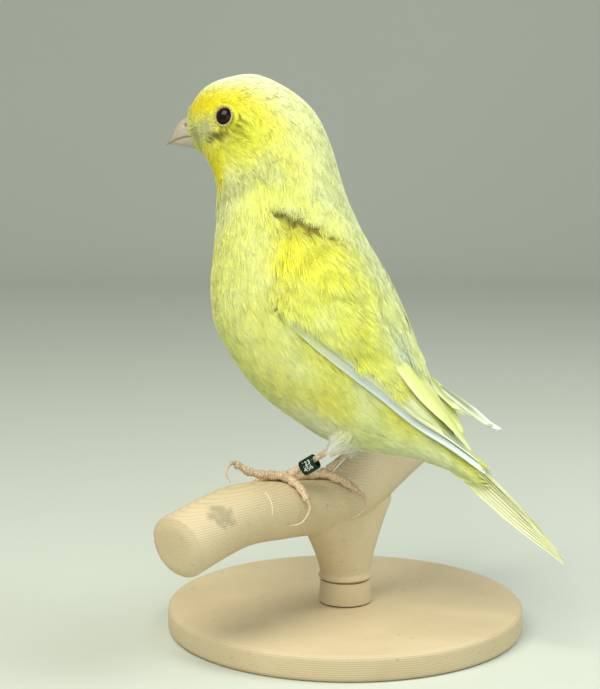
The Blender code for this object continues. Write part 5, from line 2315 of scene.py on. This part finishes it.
@dataclass(frozen=True)
class Tail:
    """Tail of six pairs of vanes, the middle pair uppermost, with short vanes over and under their roots."""

    def build(self, vane: Material) -> None:
        """Build all the tail's vanes as one piece.

        Args:
            vane: Material of stiff feathers.
        """
        rng = np.random.default_rng(60)
        batch = Batch()
        for pair in range(TAIL_PAIRS):
            for hand in (side.value for side in Side):
                spread = hand * (TAIL_SPREAD[0] + TAIL_SPREAD[1] * pair)
                fan = hand * (TAIL_FAN[0] + TAIL_FAN[1] * pair)
                drop = 0.3 + TAIL_DROP * (pair + (0.5 if hand < 0 else 0))
                run = (-1.5, TAIL_LENGTH + 1.5 - TAIL_FORK * (TAIL_PAIRS - 1 - pair))
                RECTRIX.add(batch, self.lie(run, (spread, fan), (drop + 0.5, drop * 0.7), TAIL_WIDTH), rng)
        for drop, reach, rise in TAIL_COVERTS:
            for aside in TAIL_COVERT_PLACES:
                lower = drop + abs(aside) * 0.15 * rise
                run = (-1.0, reach - abs(aside))
                laid = self.lie(run, (aside, aside), (lower, lower + rise), TAIL_COVERT_WIDTH)
                TAIL_COVERT.add(batch, laid, rng)
        settle(batch.build("tail_vanes"), Slot.FLIGHT, vane, "tail")

    def lie(self, run: tuple, aside: tuple, drop: tuple, width: float) -> Lie:
        """Lay one vane along the tail.

        Args:
            run: Where it starts along the tail, and how long it is.
            aside: Its place to the side at its root and at its tip.
            drop: How far it is below the tail's top line there.
            width: Width in millimetres.

        Returns:
            How it lies.
        """
        start, reach = run
        along = unit(TAIL_TIP - TAIL_ROOT)
        side = np.array((0.0, -1.0, 0.0))
        up = np.cross(side, along)

        def path(share: np.ndarray) -> np.ndarray:
            """Find points of the vane, arched along the tail and sloping to both sides.

            Args:
                share: Places along it.

            Returns:
                The points.
            """
            sideways = mix(*aside, share)
            arch = TAIL_BOW * np.sin(np.pi * share**1.4) * reach / TAIL_LENGTH
            tent = TAIL_TENT * (1 - share**2) * sideways**2
            rise = arch - tent - mix(*drop, share)
            middle = TAIL_ROOT + along * (start + reach * share)[:, None]
            return middle + sideways[:, None] * side + rise[:, None] * up

        def normals(share: np.ndarray) -> np.ndarray:
            """Outward directions, square to the slope."""
            slope = 2 * TAIL_TENT * (1 - share**2) * mix(*aside, share)
            return unit(up + side * slope[:, None])

        hand = 1 if aside[1] >= 0 else -1
        return Lie(path, normals, width, hand, skin_spot(np.array(17.0), np.array(20.0 * aside[1])))


# Head: eyes, lids and bill

EYE_RADIUS = 2.0
EYE_SINK = 0.65
EYE_FLATNESS = 0.72
LID_RING = 2.08
LID_THICK = 0.23
LID_LIFT = 0.1
LID_POINTS = 96
LID_SIDES = 14
LID_LIGHT = "C9C08A"
LID_DARK = "7C7238"
GAPE = np.array((-32.1, 0.0, 116.6))
BILL_TIP = np.array((-39.0, 0.0, 114.5))
MOUTH_BOW = 0.35
MOUTH_OPEN = 0.012  # half the gap between the closed halves
NOSTRIL = np.array((-34.1, 2.35, 118.9))
NOSTRIL_REACH = np.array((0.62, 1.0, 0.42))
NOSTRIL_DEPTH = 0.3


@dataclass(frozen=True)
class Eye:
    """One eyeball in its ring of wrinkled lids."""

    side: Side

    def lifted(self, height: float) -> np.ndarray:
        """Middle of the eye at a height off the body's form."""
        return FORM.lifted(np.array(EYE_STATION), np.array(self.side.value * EYE_ANGLE), np.array(height))

    def build(self, wet: Material, skin: Material) -> None:
        """Build the eyeball and the lids.

        Args:
            wet: Material of the eyeball.
            skin: Material of the lids.
        """
        out = FORM.normal(np.array(EYE_STATION), np.array(self.side.value * EYE_ANGLE))
        turn = Vector(out).to_track_quat("Z", "Y")
        deselect()
        bpy.ops.mesh.primitive_uv_sphere_add(segments=64, ring_count=40, radius=EYE_RADIUS * MM)
        eye = bpy.context.object
        eye.name = f"eyeball_{self.side.word}"
        eye.scale = (1, 1, EYE_FLATNESS)
        eye.rotation_euler = turn.to_euler()
        eye.location = tuple(self.lifted(-EYE_SINK) * MM)
        bpy.ops.object.shade_smooth()
        apply_place(eye)
        settle(eye, Slot.EYE, wet, f"eye_{self.side.word}")
        around = turns(LID_POINTS)
        radial = np.array([turn @ Vector((math.cos(t), math.sin(t), 0)) for t in around])
        bead = LID_THICK * (1 + 0.1 * np.abs(np.sin(around * 17)) + 0.05 * np.sin(around * 41))
        squash = 1 - 0.05 * np.cos(2 * around)
        middle = self.lifted(LID_LIFT) + radial * (LID_RING * squash)[:, None]
        radii = np.repeat(bead[:, None], LID_SIDES, 1)
        lids = loft(f"lids_{self.side.word}", circle_rings(middle, radial, out[None], radii), endless=True)
        dull = np.repeat(0.5 + 0.5 * np.sin(around * 23) * np.sin(around * 5), LID_SIDES)
        set_tint(lids, shade(rgb(LID_LIGHT), rgb(LID_DARK), dull))
        settle(lids, Slot.PLUMAGE, skin)


@dataclass(frozen=True)
class BillHalf:
    """One half of the short cone-shaped bill.

    Attributes:
        name: Name of the piece.
        node: Node that it replaces.
        height: Height at the base in millimetres, below 0 for the lower half.
        half_width: Half its width at the base.
        reach: Its length as a share of the bill's.
        power: How late it tapers.
        hook: How far its tip bends down.
        rings: Rings along it.
        arch: Points over its back.
        floor: Points under it.
    """

    name: str
    node: str
    height: float
    half_width: float
    reach: float
    power: float
    hook: float
    rings: int = 44
    arch: int = 45
    floor: int = 9

    def form(self) -> Object:
        """Loft the half from its root inside the head to its tip.

        Returns:
            The piece.
        """
        base_back = np.array((STATIONS[0][0], BIRD_Y, STATIONS[0][1]))
        base_belly = np.array((STATIONS[0][2], BIRD_Y, STATIONS[0][3]))
        base_up = unit(base_back - base_belly)
        forward = unit(BILL_TIP - GAPE)
        t = np.pi * np.arange(self.arch) / (self.arch - 1)
        ridge = 1 + 0.05 * hump((t - np.pi / 2) / 0.25) * (self.height > 0)
        rings = []
        for share in np.concatenate(((-0.3, -0.12), np.linspace(0, 1, self.rings) ** 0.9)):
            ahead = max(share, 0)
            taper = (1 - ahead**self.power) * 0.96 + 0.04 + min(share, 0) * 0.25
            narrow = (1 - ahead) ** 0.66 * 0.95 + 0.05 + min(share, 0) * 0.25
            rise_way = unit(mix(base_up, UP, ahead))
            bow = MOUTH_BOW * math.sin(math.pi * ahead) + math.copysign(MOUTH_OPEN, self.height)
            origin = mix(GAPE, BILL_TIP, share * self.reach) + forward * GAP
            origin = origin + rise_way * bow - UP * self.hook * ahead**5
            ring = origin + rise_way * (self.height * taper * np.sin(t) ** 0.9 * ridge)[:, None]
            ring[:, 1] = BIRD_Y - self.half_width * narrow * bent(np.cos(t), 0.85)
            floor = np.repeat(origin[None], self.floor, 0)
            floor[:, 1] = BIRD_Y + self.half_width * narrow * np.linspace(0.85, -0.85, self.floor)
            rings.append(np.concatenate((ring, floor)))
        return loft(self.name, np.array(rings))

    def build(self, horn: Material) -> None:
        """Build the half with its colours, and in the upper one the nostrils: shallow dents painted dark as
        shade.

        Args:
            horn: Material of the bill.
        """
        half = self.form()
        points = read_points(half) / MM
        length = np.linalg.norm(BILL_TIP - GAPE)
        share = np.clip(((points - GAPE) @ unit(BILL_TIP - GAPE)) / length, 0, 1)
        tint = shade(rgb("B2A792"), rgb("A0937F"), ramp(share, 0.2, 1))
        if self.height > 0:
            tint = shade(tint, rgb("8B7D70"), 0.45 * hump((points[:, 1] - BIRD_Y) / 0.9))
            for hand in (side.value for side in Side):
                spot = np.array((NOSTRIL[0], BIRD_Y - hand * NOSTRIL[1], NOSTRIL[2]))
                pit = hump(np.linalg.norm((points - spot) / NOSTRIL_REACH, axis=1), 3)
                points[:, 1] += hand * NOSTRIL_DEPTH * pit
                # Painted shade: the nostril's dark colour stands for the shade inside the opening.
                tint = shade(tint, rgb("5A4A40"), 0.8 * pit)
        else:
            tint = shade(tint, rgb("BDB29C"), np.full(len(points), 0.6))
        move_points(half, points)
        set_tint(half, tint)
        settle(half, Slot.BILL, horn, self.node)


BILL_HALVES = (
    BillHalf("bill_upper_horn", "bill_upper", 4.2, 3.3, 1.0, 1.9, 0.3),
    BillHalf("bill_lower_horn", "bill_lower", -3.45, 3.1, 0.93, 1.2, 0.0),
)


# Perch and stand

BAR_ROUTE = (
    (-28.7, -46.9, 29.3, 7.3),
    (-19.6, -30.2, 32.8, 7.1),
    (-11.2, -17.6, 31.9, 6.6),
    (-4.0, -8.0, 30.9, 6.3),
    (0.4, -0.6, 31.8, 6.5),
    (3.6, 8.0, 34.3, 6.8),
    (7.4, 19.0, 37.8, 7.0),
    (10.6, 29.8, 40.0, 7.0),
    (13.0, 39.6, 41.2, 6.9),
)
END_ROUNDING = ((0.0, 0.0), (0.0, 0.4), (0.06, 0.62), (0.25, 0.76), (0.6, 0.86), (1.2, 0.93), (2.3, 0.985))
END_TIP = 0.02  # radius as a share of the bar's, and how far outside the end, of the ring that closes it
SOCKET_RIM_Z = 11.9
SOCKET_RIM_RADIUS = 6.4
SOCKET_LIP = ((0, 0.25), (0.25, 0), (0.7, 0), (1.0, 0.15))  # height over the rim, and how far inside the lip
SOCKET_NECK_Z = 13.3
SOCKET_NECK_RADIUS = 5.9
SOCKET_TOP_Z = 29.0
SOCKET_TOP_ALONG = 15.5
SOCKET_TOP_ACROSS = 5.8
SOCKET_FLARE = 1.25
SOCKET_ROOT = ((31.0, 0.97), (33.0, 0.88))  # height, and length as a share, of what is inside the bar
BASE_RADIUS = 42.0
BASE_HEIGHT = 6.0
BASE_CHAMFER = 1.2
ROD_TOP_RADIUS = 5.9
ROD_FOOT_RADIUS = 6.3
ROD_CHAMFER = 0.25


class Bar:
    """The perch's bar, read by the distance from the post towards its near end."""

    def __init__(self) -> None:
        """Measure along the bar's middle line."""
        self.rows = curve_through(list(BAR_ROUTE), 20)
        steps = np.linalg.norm(np.diff(self.rows[:, :3], axis=0), axis=1)
        self.run = np.concatenate([[0], np.cumsum(steps)])
        self.post = int(np.argmin(np.linalg.norm(self.rows[:, :2], axis=1)))

    def place(self, distance: float) -> tuple[np.ndarray, np.ndarray, np.ndarray, float]:
        """Read the bar at a distance from the post.

        Args:
            distance: Millimetres along the bar.

        Returns:
            Middle, upward and near-side directions, and radius.
        """
        at = self.run[self.post] - distance
        i = int(np.clip(np.searchsorted(self.run, at) - 1, 0, len(self.rows) - 2))
        first, last = self.rows[i : i + 2]
        row = first + (last - first) * (at - self.run[i]) / (self.run[i + 1] - self.run[i])
        along = unit(first[:3] - last[:3])
        up = unit(UP - along * along[2])
        return row[:3], up, np.cross(up, along), row[3]

    def on(self, distance: float, angle: float, height: float) -> np.ndarray:
        """Find a point off the bar's surface.

        Args:
            distance: Millimetres along the bar from the post.
            angle: Degrees from its top towards the near side.
            height: Millimetres off its surface.

        Returns:
            The point.
        """
        centre, up, near, radius = self.place(distance)
        turn = math.radians(angle)
        return centre + (up * math.cos(turn) + near * math.sin(turn)) * (radius + height)


BAR = Bar()


@dataclass(frozen=True)
class Perch:
    """Printed bar with a socket under it, on a plain stand."""

    sides: int = 64
    voxel: float = 0.42

    def build(self, bar_finish: Material, stand_finish: Material) -> None:
        """Build the perch and the stand.

        Args:
            bar_finish: Material of the bar and its socket.
            stand_finish: Material of the stand.
        """
        rows = curve_through(list(BAR_ROUTE), 10)
        path = [row[:3] for row in rows]
        radii = [row[3] for row in rows]
        for end in (0, -1):
            inward = unit(path[1] - path[0] if end == 0 else path[-2] - path[-1])
            point = path.pop(end)
            radius = radii.pop(end)
            for back, share in END_ROUNDING[::-1]:
                spot = 0 if end == 0 else len(path)
                path.insert(spot, point + inward * (back if share else -END_TIP))
                radii.insert(spot, radius * max(share, END_TIP))
        bar = loft("perch", tube_rings(np.array(path), np.array(radii), self.sides))
        fuse(bar, [self.socket()], self.voxel, 5)
        settle(bar, Slot.PLASTIC, bar_finish, "perch_bar")
        self.stand(stand_finish)

    def socket(self) -> Object:
        """Draw the flared socket with a thin ragged lip.

        Returns:
            The piece.
        """
        ragged = 0.12 * np.sin(np.arange(self.sides) * 2.3) * np.sin(np.arange(self.sides) * 0.7)
        lip = SOCKET_RIM_RADIUS + ragged
        rings = [self.socket_ring(0.05, 0.05, SOCKET_RIM_Z, 0)]
        for rise, inset in SOCKET_LIP:
            rings.append(self.socket_ring(lip - inset, lip - inset, SOCKET_RIM_Z + rise, 0))
        for share in np.linspace(0, 1, 20):
            long = mix(SOCKET_NECK_RADIUS, SOCKET_TOP_ALONG, share**SOCKET_FLARE)
            wide = mix(SOCKET_NECK_RADIUS, SOCKET_TOP_ACROSS, share)
            rings.append(self.socket_ring(long, wide, mix(SOCKET_NECK_Z, SOCKET_TOP_Z, share), share))
        for z, share in SOCKET_ROOT:
            rings.append(self.socket_ring(SOCKET_TOP_ALONG * share, SOCKET_TOP_ACROSS * 0.8, z, 1))
        return loft("socket", np.array(rings))

    def socket_ring(self, long: np.ndarray, wide: np.ndarray, z: float, squareness: float) -> np.ndarray:
        """Draw a ring of the socket, longer and squarer where it meets the bar.

        Args:
            long: Half its length along the bar.
            wide: Half its width.
            z: Its height.
            squareness: From 0, an ellipse, to 1.

        Returns:
            Rows of x, y, z.
        """
        _, _, near, _ = BAR.place(0.0)
        heading = math.atan2(-near[0], near[1])
        power = 2 / (2 + squareness)
        a = long * bent(np.cos(turns(self.sides)), power)
        b = wide * bent(np.sin(turns(self.sides)), power)
        x = a * math.cos(heading) - b * math.sin(heading)
        y = a * math.sin(heading) + b * math.cos(heading)
        return np.stack((x, y, np.full(self.sides, float(z))), -1)

    def stand(self, finish: Material) -> None:
        """Build the round base and the short rod.

        Args:
            finish: Material of the stand.
        """
        deselect()
        middle = (0, 0, BASE_HEIGHT * MM / 2)
        bpy.ops.mesh.primitive_cylinder_add(
            vertices=160, radius=BASE_RADIUS * MM, depth=BASE_HEIGHT * MM, location=middle
        )
        base = bpy.context.object
        base.name = "base_disc"
        deselect()
        bpy.ops.mesh.primitive_cone_add(
            vertices=96,
            radius1=ROD_FOOT_RADIUS * MM,
            radius2=ROD_TOP_RADIUS * MM,
            depth=(SOCKET_RIM_Z - BASE_HEIGHT - 2 * GAP) * MM,
            location=(0, 0, (SOCKET_RIM_Z + BASE_HEIGHT) * MM / 2),
        )
        rod = bpy.context.object
        rod.name = "base_rod"
        for obj, width in ((base, BASE_CHAMFER), (rod, ROD_CHAMFER)):
            bevel = obj.modifiers.new("edge", "BEVEL")
            bevel.width = width * MM
            bevel.segments = 4
            bevel.limit_method = "ANGLE"
            apply_modifiers(obj)
            bpy.ops.object.shade_smooth_by_angle(angle=math.radians(35))
            apply_place(obj)
        settle(base, Slot.PLASTIC, finish, "stand_base")
        settle(rod, Slot.PLASTIC, finish, "stand_rod")


# Legs

HUB_RADIUS = 1.35
HUB_HEIGHT = 1.45
TOE_RADIUS = 0.95
CLAW_RADIUS = 0.5
TARSUS_RADIUS = 0.72
TARSUS_SHAPE = (1.5, 1.24, 1.08, 1.0, 0.96, 0.96, 1.0, 1.1, 1.25)
FEET = {
    "left": {
        "at": (22.0, 8.0),
        "ankle": (1.3, -19.3, 47.5),
        "knee": (8.5, -19.6, 55.5),
        "toes": {
            "outer": ((2.4, -8, 1.4), (4.8, -15, 1.6), (7.2, -21, 2.5), (9.2, -24, 4.2)),
            "middle": ((1.0, -22, 1.2), (2.6, -46, 1.2), (4.0, -70, 1.2), (5.0, -94, 1.2)),
            "inner": ((-1.6, -20, 1.1), (-2.6, -42, 1.1), (-3.4, -66, 1.1)),
            "hind": ((-0.5, 22, 1.2), (-1.0, 42, 1.3), (-1.1, 61, 1.6)),
        },
        "claws": {
            "outer": ((11.2, -25, 4.2), (12.2, -27, 2.4), (11.6, -29, 0.35)),
            "middle": ((5.2, -112, 1.5), (5.2, -132, 0.35)),
            "inner": ((-3.8, -84, 1.5), (-4.0, -104, 0.35)),
            "hind": ((-0.8, 80, 2.1), (1.2, 98, 1.7), (4.0, 106, 0.4)),
        },
    },
    "right": {
        "at": (8.8, 2.0),
        "ankle": (3.0, -5.5, 44.8),
        "knee": (8.5, -5.4, 55.5),
        "toes": {
            "outer": ((-2.4, -16, 1.1), (-4.0, -38, 1.1), (-5.0, -60, 1.1)),
            "middle": ((1.0, -24, 1.1), (2.2, -50, 1.1), (3.2, -76, 1.1), (3.8, -98, 1.1)),
            "inner": ((2.8, -12, 1.1), (5.4, -26, 1.1), (7.4, -42, 1.1)),
            "hind": ((-1.2, 21, 1.2), (-3.0, 40, 1.2), (-4.0, 56, 1.4)),
        },
        "claws": {
            "outer": ((-5.4, -80, 1.5), (-5.4, -100, 0.35)),
            "middle": ((3.8, -116, 1.5), (3.6, -136, 0.35)),
            "inner": ((8.4, -58, 1.5), (8.8, -76, 0.35)),
            "hind": ((-5.2, 78, 1.9), (-4.4, 96, 1.6), (-2.6, 112, 0.4)),
        },
    },
}
RING_RADIUS = 1.8
RING_WALL = 0.35
RING_LENGTH = 3.8
RING_PLACE = 5.0
RING_HANG = 0.5
RING_INSIDE = RING_RADIUS - RING_WALL
RING_PROFILE = (  # place along the ring as a share of half its length, and radius
    (-1, RING_INSIDE + 0.08),
    (-0.98, RING_RADIUS - 0.09),
    (-0.955, RING_RADIUS - 0.02),
    (-0.92, RING_RADIUS),
    (0.92, RING_RADIUS),
    (0.955, RING_RADIUS - 0.02),
    (0.98, RING_RADIUS - 0.09),
    (1, RING_INSIDE + 0.08),
    (0.96, RING_INSIDE),
    (-0.96, RING_INSIDE),
)
SCUTE = 0.95  # length of one plate along a toe
SHIELD = 1.7  # length of one plate along a tarsus


@dataclass(frozen=True)
class Leg:
    """One leg: tarsus, four scaly toes and their claws."""

    side: Side
    toe_sides: int = 24
    claw_sides: int = 14
    tarsus_sides: int = 20
    tarsus_rings: int = 90

    @property
    def foot(self) -> dict:
        """The foot's own table."""
        return FEET[self.side.word]

    @property
    def middle(self) -> np.ndarray:
        """Middle of the foot."""
        return BAR.on(*self.foot["at"], HUB_HEIGHT)

    def ends(self) -> tuple[np.ndarray, np.ndarray]:
        """Ends of the tarsus at the foot and at the ankle."""
        ankle = np.array(self.foot["ankle"])
        return self.middle + unit(ankle - self.middle) * HUB_RADIUS, ankle

    def build(self, skin: Material, horn: Material) -> None:
        """Build foot, claws and tarsus.

        Args:
            skin: Material of foot and tarsus.
            horn: Material of the claws.
        """
        toes = []
        for name in self.foot["toes"]:
            toes.append(self.toe(name))
            self.claw(name, horn)
        deselect()
        bpy.ops.mesh.primitive_uv_sphere_add(
            segments=24, ring_count=16, radius=HUB_RADIUS * MM, location=tuple(self.middle * MM)
        )
        hub = bpy.context.object
        hub.name = f"toes_{self.side.word}"
        apply_place(hub)
        fuse(hub, toes, 0.1, 2)
        set_tint(hub, np.ones(3))
        settle(hub, Slot.LEG, skin, f"foot_{self.side.word}")
        self.tarsus(skin)

    def tarsus(self, skin: Material) -> None:
        """Build the tarsus with its shields.

        Args:
            skin: Its material.
        """
        start, ankle = self.ends()
        share = np.linspace(0, 1, self.tarsus_rings)
        shape = smooth_rows(np.array(TARSUS_SHAPE)[:, None], share * (len(TARSUS_SHAPE) - 1))[:, 0]
        plate = (share * np.linalg.norm(ankle - start) / SHIELD) % 1
        front = 0.6 + 0.4 * np.cos(turns(self.tarsus_sides) - np.pi)
        radius = (TARSUS_RADIUS * shape)[:, None] + 0.075 * (plate**2 - 0.4)[:, None] * front[None]
        path = mix(start, ankle, share[:, None])
        tarsus = loft(f"shank_{self.side.word}", tube_rings(path, radius, self.tarsus_sides))
        set_tint(tarsus, np.ones(3))
        settle(tarsus, Slot.LEG, skin, f"tarsus_{self.side.word}")

    def joints(self, name: str) -> list:
        """Middles of a toe's joints, from the foot's middle on."""
        distance = self.foot["at"][0]
        return [self.middle] + [BAR.on(distance + step, *rest) for step, *rest in self.foot["toes"][name]]

    def claw_root(self, name: str) -> tuple[np.ndarray, np.ndarray]:
        """Find the root of a claw, and the way that its toe ends.

        Args:
            name: Name of the toe.

        Returns:
            The root and the direction.
        """
        points = self.joints(name)
        coarse = curve_through(points, 3)
        ahead = unit(coarse[-1] - coarse[-2])
        return points[-1] + ahead * GAP, ahead

    def toe(self, name: str) -> Object:
        """Build one toe with its plates and pads.

        Args:
            name: Name of the toe.

        Returns:
            The piece.
        """
        points = self.joints(name)
        start, ahead = self.claw_root(name)
        path = np.concatenate((curve_through(points, 22), [start + ahead * 0.25, start + ahead * 0.7]))
        share = np.linspace(0, 1, len(path))
        run = np.concatenate([[0], np.cumsum(np.linalg.norm(np.diff(path, axis=0), axis=1))])
        swell = 0.09 * np.cos(2 * np.pi * share * (len(points) - 1))
        plate = (run / SCUTE) % 1
        height = np.sin(turns(self.toe_sides))
        above = np.clip(0.35 + height, 0, 1)[None]
        below = np.clip(-height, 0, 1)[None]
        radius = (TOE_RADIUS * (1.12 - 0.22 * share) + swell)[:, None]
        radius = radius + 0.16 * (plate**1.5 - 0.45)[:, None] * above + 0.8 * swell[:, None] * below
        closing = np.sqrt(np.clip((run[-1] - run) / 0.6, 0.02, 1))[:, None]
        return loft(f"toe_{name}", tube_rings(path, radius * closing, self.toe_sides))

    def claw(self, name: str, horn: Material) -> None:
        """Build one claw.

        Args:
            name: Name of its toe.
            horn: Its material.
        """
        distance = self.foot["at"][0]
        rows = self.foot["claws"][name]
        points = [BAR.on(distance + step, turn, height + GAP) for step, turn, height in rows]
        start, ahead = self.claw_root(name)
        path = curve_through([start - ahead * 0.6, start + ahead * 0.8, *points], 10)
        share = np.linspace(0, 1, len(path))
        radius = CLAW_RADIUS * (1.35 - 1.26 * share**0.9)
        claw = loft(f"nail_{self.side.word}_{name}", tube_rings(path, radius, self.claw_sides))
        set_tint(claw, shade(rgb("B89878"), rgb("D9CBA6"), np.repeat(share, self.claw_sides)))
        settle(claw, Slot.CLAW, horn, f"claw_{self.side.word}_{name}")


@dataclass(frozen=True)
class LegRing:
    """Closed ring that hangs loose on the left tarsus, with plain digits along it."""

    digits: str = "123\n456"
    digit_height: float = 1.5525
    digit_depth: float = 0.02
    line_step: float = 0.8
    sides: int = 72
    facing: tuple = (0.2, -1.0, 0.25)  # way that the digits look

    def build(self, metal: Material, paint: Material) -> None:
        """Build the ring and its digits.

        Args:
            metal: Material of the ring.
            paint: Material of the digits.
        """
        start, end = Leg(Side.LEFT).ends()
        along = unit(end - start)
        down = unit(along * along[2] - UP)
        middle = start + along * RING_PLACE + down * RING_HANG
        place, radius = np.array(RING_PROFILE).T
        middles = middle + along * place[:, None] * RING_LENGTH / 2
        radii = np.repeat(radius[:, None], self.sides, 1)
        ways = np.repeat(down[None], len(place), 0), np.repeat(np.cross(along, down)[None], len(place), 0)
        ring = loft("ring_band", circle_rings(middles, *ways, radii), endless=True)
        text = self.text()
        facing = unit(np.array(self.facing))
        zero = unit(facing - along * (facing @ along))
        reading = along * math.copysign(1.0, along[0])
        over = np.cross(zero, reading)
        for vert in text.data.vertices:
            turn = vert.co.y / (RING_RADIUS * MM)
            spot = zero * math.cos(turn) + over * math.sin(turn)
            reach = RING_RADIUS + 0.015 + max(vert.co.z / MM, -0.01)
            vert.co = Vector((middle + reading * (vert.co.x / MM) + spot * reach) * MM)
        settle(ring, Slot.RING, metal, "leg_ring")
        settle(text, Slot.RING, paint)

    def text(self) -> Object:
        """Write the digits flat at the origin.

        Returns:
            A mesh of them.
        """
        deselect()
        bpy.ops.object.text_add()
        text = bpy.context.object
        text.data.body = self.digits
        text.data.size = self.digit_height * MM
        text.data.extrude = self.digit_depth * MM
        text.data.align_x = "CENTER"
        text.data.align_y = "CENTER"
        text.data.space_line = self.line_step
        text.data.resolution_u = 6
        text.data.render_resolution_u = 0
        choose(text)
        bpy.ops.object.convert(target="MESH")
        text = bpy.context.object
        text.name = "ring_digits"
        return text


# Studio


@dataclass(frozen=True)
class Lamp:
    """One square soft light that faces the bird.

    Attributes:
        name: Name of the light.
        place: Where it stands in millimetres.
        size: Length of its sides in millimetres.
        power: Its power in watts.
        colour: Hex colour.
    """

    name: str
    place: tuple
    size: float
    power: float
    colour: str

    def build(self, target: Vector) -> None:
        """Hang the lamp.

        Args:
            target: What it faces.
        """
        deselect()
        bpy.ops.object.light_add(type="AREA")
        lamp = bpy.context.object
        lamp.name = self.name
        lamp.location = Vector(self.place) * MM
        lamp.rotation_euler = (Vector(self.place) - target).to_track_quat("Z", "Y").to_euler()
        lamp.data.size = self.size * MM
        lamp.data.energy = self.power
        lamp.data.color = linear(self.colour)[:3]


LAMPS = (
    Lamp("key", (-170, -330, 560), 420, 4.05, "FFFAF2"),
    Lamp("fill", (240, -520, 190), 420, 0.9, "F4F6FF"),
    Lamp("back", (360, 40, 420), 320, 1.7, "F4F8FF"),
)


@dataclass(frozen=True)
class Studio:
    """Pale floor that curves up behind the model, soft lights, and the photo's view of it."""

    target: tuple = (-8.3, -12.5, 69.4)
    azimuth: float = 12.0
    elevation: float = 9.0
    distance: float = 430.0
    lens: float = 98.85
    sensor: float = 36.0
    paper: str = "C8CFC0"
    paper_dark: str = "C0C7B8"
    paper_mottle: float = 1000 / 3  # size of its faint mottle in millimetres
    paper_near: float = -900.0
    paper_far: float = 650.0  # where it starts to bend up
    paper_bend: float = 260.0
    paper_top: float = 1400.0
    paper_half_width: float = 1600.0
    sky: str = "EEF2F2"
    sky_strength: float = 0.4

    def build(self) -> None:
        """Build backdrop, camera, lights and world."""
        self.backdrop()
        self.camera()
        for lamp in LAMPS:
            lamp.build(Vector(self.target))
        world = bpy.data.worlds.new("soft_room")
        bpy.context.scene.world = world
        world.use_nodes = True
        sky = world.node_tree.nodes["Background"]
        sky.inputs["Color"].default_value = linear(self.sky)
        sky.inputs["Strength"].default_value = self.sky_strength
        bpy.context.scene.view_settings.view_transform = "Standard"

    def backdrop(self) -> None:
        """Sheet of paper: floor, bend and wall, lined up with the camera."""
        bend = self.paper_bend
        rows = [(self.paper_near, 0.0)]
        for t in np.linspace(0, math.pi / 2, 25):
            rows.append((self.paper_far + bend * math.sin(t), bend - bend * math.cos(t)))
        rows.append((self.paper_far + bend, self.paper_top))
        turn = math.radians(self.azimuth)
        ahead = np.array((-math.sin(turn), math.cos(turn), 0.0))
        aside = np.array((math.cos(turn), math.sin(turn), 0.0)) * self.paper_half_width
        points = [aside * side + ahead * away + UP * height for away, height in rows for side in (-1, 1)]
        faces = [(2 * i, 2 * i + 1, 2 * i + 3, 2 * i + 2) for i in range(len(rows) - 1)]
        sheet = mesh_object("paper_sweep", np.array(points), np.array(faces))
        recipe = Recipe("matt_backdrop_paper")
        tone = recipe.noise(recipe.place(), self.paper_mottle, 2.0)
        colour = recipe.blend(tone, linear(self.paper), linear(self.paper_dark))
        sheet.data.materials.append(recipe.done(colour, {"Roughness": 0.9}))
        sheet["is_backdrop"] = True

    def camera(self) -> None:
        """Camera at the photo's place."""
        turn = math.radians(self.azimuth)
        lift = math.radians(self.elevation)
        back = Vector((math.sin(turn) * math.cos(lift), -math.cos(turn) * math.cos(lift), math.sin(lift)))
        deselect()
        bpy.ops.object.camera_add()
        camera = bpy.context.object
        camera.name = "camera"
        camera.location = (Vector(self.target) + back * self.distance) * MM
        camera.rotation_euler = back.to_track_quat("Z", "Y").to_euler()
        camera.data.sensor_fit = "VERTICAL"
        camera.data.sensor_height = self.sensor
        camera.data.lens = self.lens
        camera.data.clip_start = 0.01
        bpy.context.scene.camera = camera


def main(bounds: object) -> None:
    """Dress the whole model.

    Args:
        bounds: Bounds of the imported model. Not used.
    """
    logging.basicConfig(level=logging.INFO, format="%(message)s")
    plumage = PlumageFinish().material()
    vane = VaneFinish().material()
    bill_horn = HornFinish("bill_keratin", 0.5).material()
    claw_horn = HornFinish("claw_keratin", 0.35, 0.3, 0.35).material()
    wet = WetEyeFinish().material()
    leg_skin = ScalySkinFinish().material()
    green = AnodisedFinish().material()
    enamel = PaintFinish().material()
    bar_plastic = PrintedPlasticFinish("beige_printed_plastic", smudge_reach=4.2).material()
    stand_plastic = PrintedPlasticFinish("beige_stand_plastic").material()
    coat = Coat(plumage)
    Skin().build(plumage)
    Plumage(coat).build()
    for side in Side:
        coat.thigh_fluff(side)
        coat.bristles(side)
        Wing(side).build(vane, coat)
        Eye(side).build(wet, plumage)
        Leg(side).build(leg_skin, claw_horn)
    Tail().build(vane)
    for half in BILL_HALVES:
        half.build(bill_horn)
    LegRing().build(green, enamel)
    Perch().build(bar_plastic, stand_plastic)
    Studio().build()


if __name__ == "__main__":
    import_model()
    main(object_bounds())
